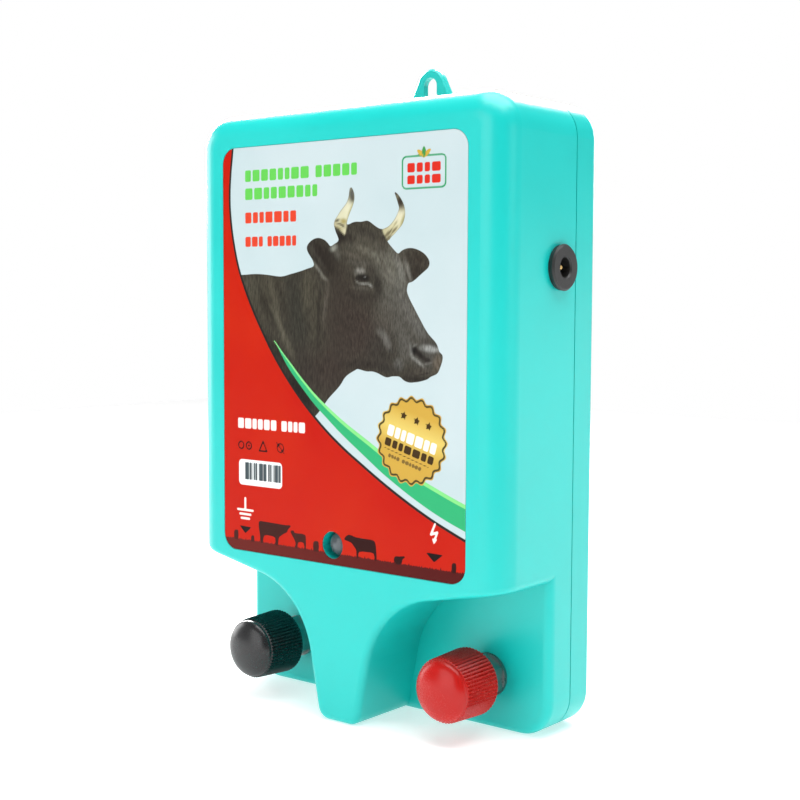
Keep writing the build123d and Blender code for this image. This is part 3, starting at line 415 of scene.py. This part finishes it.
muzzleTones = [
    (40, 1, 6.5, 6, 0, (84, 82, 77), 0.7), (41.6, 3.2, 3.6, 1.1, -4, (158, 160, 156), 0.95),
    (38.4, 3.6, 1.6, 0.8, 10, (120, 120, 114), 0.7), (44.6, -1.4, 1.9, 3.0, -8, (108, 98, 84), 0.7),
    (40.6, 5.6, 3.0, 0.8, -22, (60, 57, 52), 0.6), (43.6, 4.4, 1.2, 1.0, -30, (70, 68, 63), 0.5),
    (33.4, 2.0, 0.55, 2.4, 8, (132, 132, 126), 0.85), (36.4, -1.4, 3.4, 0.5, -34, (136, 136, 130), 0.9),
    (40.4, -1.7, 1.6, 0.42, 10, (120, 118, 112), 0.8), (34.6, 3.9, 1.4, 0.4, 30, (118, 118, 112), 0.7),
    (37.2, 1.0, 3.9, 1.15, -34, (36, 31, 28), 1.0), (34.9, 2.4, 1.2, 1.3, -34, (30, 26, 24), 1.0),
    (40.0, -0.6, 1.4, 0.8, -10, (40, 35, 31), 0.95), (37.6, -4.4, 4.6, 1.6, 8, (72, 66, 58), 0.6),
    (36.0, -7.2, 5.6, 0.9, 3, (42, 38, 34), 0.8), (38.6, -5.4, 4.2, 0.3, 12, (44, 40, 35), 0.7),
    (32.4, -6.0, 2.6, 1.6, 0, (52, 48, 43), 0.6), (43.6, -4.2, 1.4, 1.0, 20, (84, 76, 64), 0.6),
]
hornTones = [
    (5.0, 50.0, 3.0, 5.0, -30, (214, 212, 184), 1.0), (2.2, 48.6, 2.8, 1.6, 20, (206, 204, 172), 0.9),
    (6.4, 50.2, 0.7, 3.6, -28, (170, 164, 112), 0.8), (6.9, 56.0, 1.5, 2.9, -8, (84, 84, 78), 1.0),
    (7.3, 54.2, 0.7, 1.2, 0, (58, 56, 50), 0.8), (3.2, 46.6, 1.6, 1.0, -10, (150, 138, 74), 0.9),
    (0.2, 47.0, 1.1, 0.42, 10, (44, 38, 26), 0.95), (1.6, 45.6, 2.0, 0.36, -14, (70, 60, 34), 0.9),
    (1.0, 44.4, 1.6, 0.34, -20, (150, 140, 92), 0.8), (2.8, 44.9, 1.2, 0.32, -30, (60, 50, 28), 0.85),
    (3.6, 43.2, 0.7, 1.2, -10, (196, 190, 158), 0.85), (0.6, 43.6, 1.4, 0.7, -30, (50, 44, 34), 0.8),
    (28.0, 46.4, 3.4, 4.4, -35, (212, 208, 178), 1.0), (25.0, 43.2, 3.2, 1.6, 42, (198, 192, 152), 0.95),
    (29.6, 45.8, 0.8, 3.2, -22, (150, 142, 78), 0.8), (28.4, 52.4, 1.9, 2.9, 24, (52, 44, 38), 1.0),
    (26.4, 55.4, 1.0, 1.2, 20, (56, 48, 42), 1.0), (24.0, 42.4, 0.34, 1.9, -42, (60, 48, 28), 0.9),
    (25.4, 42.6, 0.3, 1.7, -42, (70, 58, 34), 0.85), (26.5, 43.3, 0.3, 1.5, -42, (84, 72, 42), 0.75),
    (22.6, 41.6, 0.5, 1.8, -42, (80, 68, 44), 0.8), (26.4, 45.2, 0.26, 1.2, -42, (112, 98, 60), 0.7),
    (23.4, 40.4, 1.4, 0.6, 40, (60, 50, 34), 0.8),
]


def toLinear(tone):
    value = np.array(tone, float) / 255
    return np.where(value <= 0.04045, value / 12.92, ((value + 0.055) / 1.055) ** 2.4)


def addTones(x, z, colour, tones):
    for cx, cz, rx, rz, turn, tone, strength in tones:
        c, s = math.cos(math.radians(turn)), math.sin(math.radians(turn))
        u = ((x - cx) * c + (z - cz) * s) / rx
        v = (-(x - cx) * s + (z - cz) * c) / rz
        near = np.exp(-np.power(u * u + v * v, 1.5) * 0.9) * strength
        colour += near[:, None] * (toLinear(tone) - colour)
    return colour


def cowPrint(x, z):
    colour = np.tile(toLinear((64, 60, 51)), (x.size, 1))
    for tones in (neckTones, headTones, earTones, muzzleTones):
        addTones(x, z, colour, tones)
    inHorn = np.minimum(
        polygonDistance(x, z, smoothOutline(leftHorn)), polygonDistance(x, z, smoothOutline(rightHorn))
    )
    horn = addTones(x, z, np.tile(toLinear((180, 174, 138)), (x.size, 1)), hornTones)
    cover = np.clip(0.5 - inHorn / 0.5, 0, 1)[:, None]
    return colour * (1 - cover) + horn * cover


# rows of plain blocks that stand for words: left, right, low, high, blocks a word, colour
titleGreen, titleRed, paleInk, darkInk = (98, 196, 82), (214, 66, 42), (246, 226, 220), (62, 44, 20)
wordRows = [
    (-45, 9.2, 62.4, 66.6, (8, 5), titleGreen), (-45, -9.2, 55.8, 60.0, (9,), titleGreen),
    (-45, -19.4, 47.2, 51.2, (7,), titleRed), (-45, -19.4, 38.6, 42.3, (3, 5), titleRed),
    (-49.2, -15.2, -28.8, -25.0, (6, 4), paleInk),
]
blockWidths = (1.0, 0.72, 0.95, 0.88, 0.62, 1.06, 0.8, 0.92, 0.7)


def wordMarks(left, right, low, high, words, colour, turn=0.0):
    units = [[blockWidths[(i * 5 + n * 3) % 9] for i in range(n)] for n in words]
    gap, space = 0.22, 0.85
    total = sum(sum(word) + gap * (len(word) - 1) for word in units) + space * (len(units) - 1)
    scale = (right - left) / total
    c, s = math.cos(math.radians(turn)), math.sin(math.radians(turn))
    along = 0.0
    marks = []
    middle = (low + high) / 2
    for word in units:
        for width in word:
            half = (along + width / 2) * scale
            marks.append(("box", (left + half * c, middle + half * s, width * scale, high - low, turn, 0.45),
                          colour))
            along += width + gap
        along += space - gap
    return marks


def starPoints(cx, cz, radius, turn=0.0):
    points = []
    for i in range(10):
        angle = math.radians(turn + 90 + 36 * i)
        reach = radius if i % 2 == 0 else radius * 0.45
        points.append((cx + reach * math.cos(angle), cz + reach * math.sin(angle)))
    return points


def rosettePoints(cx, cz, radius, ripple, lobes=20):
    return [(cx + (radius + ripple * math.cos(lobes * a)) * math.cos(a),
             cz + (radius + ripple * math.cos(lobes * a)) * math.sin(a))
            for a in np.linspace(0, 2 * math.pi, 160, endpoint=False)]


bull = [(-38.6, -63.3), (-36, -63.0), (-30, -63.1), (-25, -63.2), (-22.5, -63.0), (-22.4, -63.6),
        (-23.6, -64.6), (-24.2, -65.8), (-25.6, -66.4), (-27.2, -67.4), (-28.3, -68.3), (-28.8, -71.2),
        (-29.9, -71.2), (-30.2, -68.5), (-33.0, -68.0), (-35.8, -68.3), (-36.6, -71.2), (-37.7, -71.2),
        (-37.9, -68.6), (-38.4, -66.4)]
heifer = [(-22.5, -65.2), (-21.8, -64.8), (-20.8, -64.8), (-20.2, -65.6), (-17, -65.5), (-15.2, -65.8),
          (-14.8, -66.8), (-14.8, -71.2), (-15.5, -71.2), (-15.9, -68.8), (-18.6, -68.9), (-19.0, -71.2),
          (-19.8, -71.2), (-20.0, -69.0), (-21.0, -67.4), (-21.8, -66.4)]
grazer = [(3.6, -65.3), (4.2, -64.2), (5.6, -63.4), (7.2, -63.5), (9, -63.9), (13, -64.0), (16.8, -64.1),
          (17.9, -65.0), (18.3, -67.2), (18.5, -71.2), (17.6, -71.2), (17.2, -68.8), (14.2, -68.6),
          (10.4, -69.0), (10.2, -71.2), (9.3, -71.2), (9.2, -68.6), (8.0, -67.2), (6.8, -66.1),
          (5.0, -65.7)]
lyingCalf = [(26.4, -68.7), (28.6, -68.4), (30.8, -68.0), (31.0, -68.6), (30.0, -69.2), (29.4, -71.2),
             (26.6, -71.2)]
smallCalves = [(-51.6, -67.6, -49.4), (-42.6, -68.8, -41.0), (-11.2, -67.4, -8.6), (51.0, -67.8, 52.8)]
# farm ink is lighter on the left half of the label: painted sheen; the right-hand tone is the plain dark ink
leftFarmWithSheen, rightFarm = (64, 22, 16), (44, 8, 6)


def farmMarks():
    marks = []
    # the bull and heifer on the left take lighter ink as painted sheen, while the grazer and lying calf keep
    # the plain dark ink
    for outline, tone in ((bull, (58, 20, 14)), (heifer, (64, 22, 16)), (grazer, (44, 8, 6)),
                          (lyingCalf, (40, 8, 6))):
        marks.append(("polygon", smoothOutline(outline, steps=2), tone))
    for left, top, right in smallCalves:
        tone = leftFarmWithSheen if left < 0 else rightFarm
        middle = (left + right) / 2
        marks.append(("polygon", smoothOutline([
            (left, top - 0.6), (middle, top), (right, top - 0.3), (right - 0.1, -71.2), (left + 0.2, -71.2)
        ], steps=2), tone))
    ground = [(-60, -78), (60, -78), (60, -70.9)]
    step = 0
    for x in np.arange(57, -58, -0.9):
        tall = 0.25 + 0.75 * ((step * 7) % 5) / 4
        ground.append((x + 0.25, -70.9 + tall * (0.5 + 0.5 * math.sin(step * 1.7) ** 2)))
        ground.append((x - 0.3, -71.1))
        step += 1
    marks.append(("polygon", ground, "ground"))
    return marks


def inkMarks():
    marks = farmMarks()
    for row in wordRows:
        marks += wordMarks(*row)
    black = (26, 10, 8)
    marks.append(("polygon", [(-48.8, -65.7), (-42.4, -65.9), (-45.6, -68.5)], black))
    marks.append(("polygon", [(40.0, -65.6), (47.4, -65.7), (43.6, -68.6)], (18, 6, 5)))
    marks.append(("segment", (-45.6, -55.2, -45.6, -59.2, 1.0), paleInk))
    for z, half in ((-59.6, 4.0), (-61.2, 2.8), (-62.8, 2.1)):
        marks.append(("segment", (-45.6 - half, z, -45.6 + half, z, 0.85), paleInk))
    bolt = [(43.9, -55.6), (42.2, -59.3), (44.9, -58.3), (43.7, -61.2)]
    for start, end in zip(bolt, bolt[1:]):
        marks.append(("segment", (*start, *end, 0.8), paleInk))
    marks.append(("polygon", [(42.6, -60.4), (44.8, -60.7), (43.5, -62.6)], paleInk))
    # plain symbols: ring, dot in a ring, triangle, ring with a stroke
    for cx in (-47.6, -43.6):
        marks.append(("ring", (cx, -35.2, 1.35, 0.6), (40, 8, 6)))
    marks.append(("box", (-43.6, -35.2, 0.9, 0.9, 0, 0.45), (40, 8, 6)))
    corners = [(-38.2, -36.8), (-34.2, -36.8), (-36.2, -33.1)]
    for a, b in zip(corners, corners[1:] + corners[:1]):
        marks.append(("segment", (*a, *b, 0.6), (40, 8, 6)))
    marks.append(("ring", (-27.4, -35.0, 1.6, 0.55), (40, 8, 6)))
    marks.append(("segment", (-29.4, -33.0, -25.4, -37.0, 0.5), (40, 8, 6)))
    # stripes on the pale patch
    x = -45.6
    for step in range(25):
        width = (0.35, 0.6, 0.3, 0.8, 0.4)[(step * 3) % 5]
        tone = (66, 78, 82) if step % 4 else (40, 48, 52)
        marks.append(("box", (x + width / 2, -44.7, width, 6.6, 0, 0.05), tone))
        x += width + (0.25, 0.2, 0.35)[step % 3]
    # boxed emblem: a sprout over two rows of blocks
    marks.append(("frame", (38.4, 61.9, 18.2, 10.6, 0, 1.6), (44, 150, 96)))
    marks += wordMarks(31.4, 45.4, 61.9, 65.0, (4,), (206, 44, 30))
    marks += wordMarks(31.4, 45.4, 58.0, 60.9, (4,), (206, 44, 30))
    marks.append(("polygon", smoothOutline(
        [(38.4, 66.6), (36.6, 67.4), (35.4, 69.2), (37.2, 68.9)]), (196, 160, 60)))
    marks.append(("polygon", smoothOutline(
        [(38.4, 66.6), (40.2, 67.4), (41.4, 69.2), (39.6, 68.9)]), (196, 160, 60)))
    marks.append(("polygon", smoothOutline(
        [(38.4, 66.4), (37.5, 68.4), (38.4, 70.4), (39.3, 68.4)]), (60, 140, 70)))
    # rosette: dark ring, stars and blocks
    marks.append(("rosetteRing", None, (74, 62, 34)))
    for cx, cz in ((30.3, -19.8), (35.9, -21.4), (41.0, -22.9)):
        marks.append(("polygon", starPoints(cx, cz, 1.7, -15), darkInk))
    marks += wordMarks(23.4, 44.9, -26.7, -22.9, (7,), (240, 240, 226), -15.5)
    marks += wordMarks(22.2, 43.8, -30.2, -27.4, (7,), darkInk, -15.5)
    marks.append(("segment", (21.9, -31.2, 41.0, -36.7, 0.4), darkInk))
    marks += wordMarks(23.6, 38.4, -34.4, -33.0, (4, 6), (120, 94, 46), -15.5)
    return marks


rosette = dict(cx=33.6, cz=-28.3)


def markDistance(x, z, kind, shape):
    if kind == "box":
        return boxDistance(x, z, *shape)
    if kind == "frame":
        return np.abs(boxDistance(x, z, *shape)) - 0.32
    if kind == "ring":
        return np.abs(np.hypot(x - shape[0], z - shape[1]) - shape[2]) - shape[3] / 2
    if kind == "segment":
        return segmentDistance(x, z, *shape)
    if kind == "rosetteRing":
        outline = rosettePoints(rosette["cx"], rosette["cz"], 14.1, 0.62)
        return np.abs(polygonDistance(x, z, outline)) - 0.36
    return polygonDistance(x, z, shape)


def inkLayer(x, z, marks):
    best = np.full(x.shape, 50.0)
    colour = np.zeros((x.size, 3))
    # the ground strip runs from lighter maroon on the left to darker on the right: painted sheen on the left
    # over the ink's own dark maroon
    along = np.clip((x + 40) / 80, 0, 1)[:, None]
    ground = toLinear((98, 26, 20)) * (1 - along) + toLinear((80, 12, 10)) * along
    for kind, shape, tone in marks:
        here = markDistance(x, z, kind, shape)
        nearer = here < best
        best = np.where(nearer, here, best)
        colour[nearer] = ground[nearer] if isinstance(tone, str) else toLinear(tone)
    return best, colour


def setFloat(mesh, name, values):
    layer = mesh.attributes.new(name, "FLOAT", "POINT")
    layer.data.foreach_set("value", np.ascontiguousarray(values, np.float32))


def setColour(mesh, name, values):
    layer = mesh.attributes.new(name, "FLOAT_COLOR", "POINT")
    four = np.ones((len(values), 4), np.float32)
    four[:, :3] = values
    layer.data.foreach_set("color", four.ravel())


labelValues = dict(cell=0.5, corner=6.0, lampRadius=4.9, lampX=-2.0, lampZ=-68.0)


def makeLabel():
    low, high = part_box("front_label")
    size = high - low
    middle = (low + high) / 2
    cell = labelValues["cell"] * mm
    clearSelection()
    bpy.ops.mesh.primitive_grid_add(
        x_subdivisions=round(size.x / cell), y_subdivisions=round(size.z / cell), size=1,
        location=(middle.x, low.y, middle.z), rotation=(math.pi / 2, 0, 0),
    )
    label = newPiece("printedLabel")
    label.scale = (size.x + mm, size.z + mm, 1)
    applyTransform(label)
    # thicken the sheet, then keep its back as one face
    bpy.ops.object.mode_set(mode="EDIT")
    bpy.ops.mesh.select_all(action="SELECT")
    bpy.ops.mesh.extrude_region_move(TRANSFORM_OT_translate={"value": (0, size.y, 0)})
    bpy.ops.mesh.dissolve_faces()
    bpy.ops.mesh.select_all(action="SELECT")
    bpy.ops.mesh.normals_make_consistent(inside=False)
    bpy.ops.object.mode_set(mode="OBJECT")
    # trim it to the rounded outline
    clearSelection()
    bpy.ops.mesh.primitive_cube_add(size=1, location=middle)
    trim = newPiece("labelTrim")
    trim.scale = (size.x, size.y * 4, size.z)
    applyTransform(trim)
    selectWhere(trim, "EDGE", lambda e: abs(trim.data.vertices[e.vertices[0]].co.y
                                            - trim.data.vertices[e.vertices[1]].co.y) > size.y)
    bpy.ops.mesh.bevel(offset=labelValues["corner"] * mm, segments=12, affect="EDGES")
    bpy.ops.object.mode_set(mode="OBJECT")
    clearSelection()
    bpy.ops.mesh.primitive_cylinder_add(
        vertices=64, radius=labelValues["lampRadius"] * mm, depth=size.y * 8,
        location=(labelValues["lampX"] * mm, middle.y, middle.z + labelValues["lampZ"] * mm),
        rotation=(math.pi / 2, 0, 0),
    )
    lampCut = newPiece("lampCut")
    applyModifier(label, "BOOLEAN", operation="INTERSECT", object=trim, solver="EXACT")
    applyModifier(label, "BOOLEAN", operation="DIFFERENCE", object=lampCut, solver="EXACT")
    for tool in (trim, lampCut):
        bpy.data.objects.remove(tool)
    tidyMesh(label, 30)
    return label, middle


def paintLabel(label, middle):
    mesh = label.data
    co = np.zeros(len(mesh.vertices) * 3)
    mesh.vertices.foreach_get("co", co)
    co = co.reshape(-1, 3)
    x = (co[:, 0] - middle.x) / mm
    z = (co[:, 2] - middle.z) / mm
    red = smoothOutline(redEdge, closed=False) + [(64, -90), (-70, -90), (-70, 80)]
    setFloat(mesh, "redField", polygonDistance(x, z, red))
    top = smoothOutline(swooshTop, closed=False)
    bottom = smoothOutline(swooshLow, closed=False)
    swoosh = polygonDistance(x, z, top + bottom)
    setFloat(mesh, "swoosh", swoosh)
    lower = []
    for px, pz in top:
        along = min(max((px + 30) / 40, 0), 1)
        lower.append((px - 0.35 - 0.45 * along, pz - 0.35 - 0.75 * along))
    setFloat(mesh, "swooshLight", polygonDistance(x, z, top + lower[::-1]))
    cow = np.minimum(polygonDistance(x, z, smoothOutline(cowOutline)),
                     np.minimum(polygonDistance(x, z, smoothOutline(leftHorn)),
                                polygonDistance(x, z, smoothOutline(rightHorn))))
    setFloat(mesh, "horn", np.minimum(polygonDistance(x, z, smoothOutline(leftHorn)),
                                      polygonDistance(x, z, smoothOutline(rightHorn))))
    # the pale stripe under the swoosh stays clear of the cow
    stripe = polygonDistance(x, z, [(-10.2, -22.3), (-7.6, -20.0), (-4, -22.4), (6, -30), (40, -50),
                                    (70, -62), (70, -80), (-6, -40), (-14, -27)])
    setFloat(mesh, "cow", np.maximum(cow, -stripe))
    setColour(mesh, "cowPrint", cowPrint(x, z))
    badge = polygonDistance(x, z, rosettePoints(rosette["cx"], rosette["cz"], 14.9, 0.62))
    patch = boxDistance(x, z, -37.7, -45.3, 22.2, 9.6, 0, 1.6)
    setFloat(mesh, "under", np.minimum(badge, patch))
    gold = toLinear((196, 158, 66)) + (toLinear((218, 194, 104)) - toLinear((196, 158, 66))) * np.clip(
        1 - np.abs((x - 33.6) * 0.27 + (z + 25.5)) / 7.0, 0, 1)[:, None]
    isPatch = (patch < badge)[:, None]
    setColour(mesh, "underPrint", np.where(isPatch, toLinear((236, 240, 240)), gold))
    ink, inkPrint = inkLayer(x, z, inkMarks())
    setFloat(mesh, "ink", ink)
    setColour(mesh, "inkPrint", inkPrint)


def labelMaterial():
    made, tree, shader = newMaterial("label")

    def attribute(name, output="Fac"):
        node = tree.nodes.new("ShaderNodeAttribute")
        node.attribute_name = name
        return node.outputs[output]

    def inside(value, soft=0.12, shift=0.0):
        return rangeNode(tree, value, shift + soft, shift - soft, 0.0, 1.0)

    place = objectPlace(tree)
    broad = noiseNode(tree, place, 22.0, 2.0)
    speck = noiseNode(tree, place, 420.0, 2.0)
    # pale field, a little bluish and with a soft cast, its tone drifting at random
    pale = mixColour(tree, rangeNode(tree, broad, 0.35, 0.65, 0.0, 1.0),
                     (0.490, 0.600, 0.620), (0.530, 0.625, 0.645))
    # the coat of the cow, brushed along two ways
    brushDown = noiseNode(tree, objectPlace(tree, (1.0, 1.0, 0.22)), 1500.0, 3.0, 0.6)
    brushAcross = noiseNode(tree, objectPlace(tree, (1.0, 1.0, 0.30), (0, math.radians(55), 0)),
                            1500.0, 3.0, 0.6)
    separate = tree.nodes.new("ShaderNodeSeparateXYZ")
    joinTo(tree, place, separate.inputs[0])
    across = rangeNode(tree, separate.outputs[0], -0.006, 0.006, 0.0, 1.0)
    brush = mathNode(tree, "ADD", mathNode(tree, "MULTIPLY", brushAcross, across),
                     mathNode(tree, "MULTIPLY", brushDown, mathNode(tree, "SUBTRACT", 1.0, across)))
    brush = rangeNode(tree, brush, 0.32, 0.68, 0.52, 1.12)
    brush = mathNode(tree, "MAXIMUM", brush, inside(attribute("horn"), 0.2))
    brushed = tree.nodes.new("ShaderNodeVectorMath")
    brushed.operation = "SCALE"
    joinTo(tree, attribute("cowPrint", "Color"), brushed.inputs[0])
    joinTo(tree, brush, brushed.inputs["Scale"])
    colour = mixColour(tree, inside(attribute("cow"), 0.10), pale, brushed.outputs[0])
    # red field: its own red, mottled at random towards lighter, more orange patches that are painted sheen
    redToneWithSheen = mixColour(tree, rangeNode(tree, broad, 0.3, 0.7, 0.0, 1.0),
                        (0.47, 0.006, 0.0), (0.51, 0.016, 0.001))
    red = attribute("redField")
    colour = mixColour(tree, inside(red, 0.10, 0.95), colour, (0.018, 0.014, 0.012))
    colour = mixColour(tree, inside(red, 0.10), colour, redToneWithSheen)
    colour = mixColour(tree, inside(attribute("swoosh"), 0.10), colour, (0.030, 0.40, 0.16))
    colour = mixColour(tree, inside(attribute("swooshLight"), 0.10), colour, (0.22, 0.68, 0.22))
    colour = mixColour(tree, inside(attribute("under"), 0.10), colour, attribute("underPrint", "Color"))
    colour = mixColour(tree, inside(attribute("ink"), 0.09), colour, attribute("inkPrint", "Color"))
    joinTo(tree, colour, shader.inputs["Base Color"])
    joinTo(tree, rangeNode(tree, speck, 0.3, 0.7, 0.30, 0.38), shader.inputs["Roughness"])
    shader.inputs["Specular IOR Level"].default_value = 0.10
    addBump(tree, shader, speck, 0.02, 0.00003)
    return made


label, labelMiddle = makeLabel()
paintLabel(label, labelMiddle)
label.data.materials.append(labelMaterial())
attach(label, "case")
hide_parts("front_label")
print("stage: label", len(label.data.vertices), "points")


# floor, light and camera
stageValues = dict(floorSize=2.4)


def makeStage():
    low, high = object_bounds()
    clearSelection()
    bpy.ops.mesh.primitive_plane_add(size=stageValues["floorSize"], location=(0, 0, low.z))
    floor = newPiece("floor")
    made, tree, shader = newMaterial("floorPaper")
    fine = noiseNode(tree, objectPlace(tree), 60.0, 2.0)
    joinTo(tree, mixColour(tree, fine, (0.80, 0.80, 0.80), (0.82, 0.82, 0.82)), shader.inputs["Base Color"])
    shader.inputs["Roughness"].default_value = 0.9
    shader.inputs["Emission Color"].default_value = (1, 1, 1, 1)
    shader.inputs["Emission Strength"].default_value = 0.5
    floor.data.materials.append(made)


def addLamp(name, place, aim, size, power, shineOnly=False):
    data = bpy.data.lights.new(name, "AREA")
    data.shape = "RECTANGLE"
    data.size, data.size_y = size
    data.energy = power
    lamp = bpy.data.objects.new(name, data)
    bpy.context.collection.objects.link(lamp)
    lamp.location = place
    lamp.visible_diffuse = not shineOnly
    lamp.rotation_euler = (Vector(aim) - Vector(place)).to_track_quat("-Z", "Y").to_euler()


def makeLight():
    world = bpy.data.worlds.new("studio")
    bpy.context.scene.world = world
    world.use_nodes = True
    # white to look at, dimmer to be lit by
    tree = world.node_tree
    seen = tree.nodes["Background"]
    seen.inputs[0].default_value = (1, 1, 1, 1)
    seen.inputs[1].default_value = 1.0
    lit = tree.nodes.new("ShaderNodeBackground")
    lit.inputs[1].default_value = 0.32
    path = tree.nodes.new("ShaderNodeLightPath")
    mix = tree.nodes.new("ShaderNodeMixShader")
    tree.links.new(path.outputs["Is Camera Ray"], mix.inputs[0])
    tree.links.new(lit.outputs[0], mix.inputs[1])
    tree.links.new(seen.outputs[0], mix.inputs[2])
    tree.links.new(mix.outputs[0], tree.nodes["World Output"].inputs[0])
    bpy.context.scene.view_settings.view_transform = "Standard"
    addLamp("topLight", (0.15, 0.05, 1.15), (0, 0, 0), (1.2, 1.2), 26)
    addLamp("leftLight", (-1.25, -0.12, 0.10), (0, 0, 0), (0.7, 0.9), 9)
    addLamp("frontLight", (-0.2, -1.6, 0.45), (0, 0, 0), (1.2, 1.2), 10)
    addLamp("rightLight", (1.4, 0.15, 0.1), (0, 0, 0), (0.7, 0.7), 2.0)
    # two that only show as a shine: along the top edge and low on the right side
    addLamp("backShine", (-0.64, 0.80, 0.46), (0, 0, 0.1), (1.0, 0.7), 90, True)
    addLamp("sideShine", (0.65, 0.85, -0.02), (0.07, -0.03, -0.06), (0.7, 0.18), 0.8, True)


cameraValues = dict(place=(0.3252, -0.4258, 0.0427), azimuth=38.72, pitch=4.23, roll=0.23, lens=62.9)


def makeCamera():
    a, e = math.radians(cameraValues["azimuth"]), math.radians(cameraValues["pitch"])
    back = Vector((math.sin(a) * math.cos(e), -math.cos(a) * math.cos(e), math.sin(e)))
    right = (-back).cross(Vector((0, 0, 1))).normalized()
    up = right.cross(-back)
    turn = Matrix((right, up, back)).transposed()
    data = bpy.data.cameras.new("camera")
    data.lens = cameraValues["lens"]
    data.sensor_width = 36
    camera = bpy.data.objects.new("camera", data)
    bpy.context.collection.objects.link(camera)
    camera.location = cameraValues["place"]
    camera.rotation_mode = "QUATERNION"
    roll = Matrix.Rotation(math.radians(cameraValues["roll"]), 3, "Z")
    camera.rotation_quaternion = (turn @ roll).to_quaternion()
    bpy.context.scene.camera = camera


makeStage()
makeLight()
makeCamera()
print("stage: floor, light and camera")
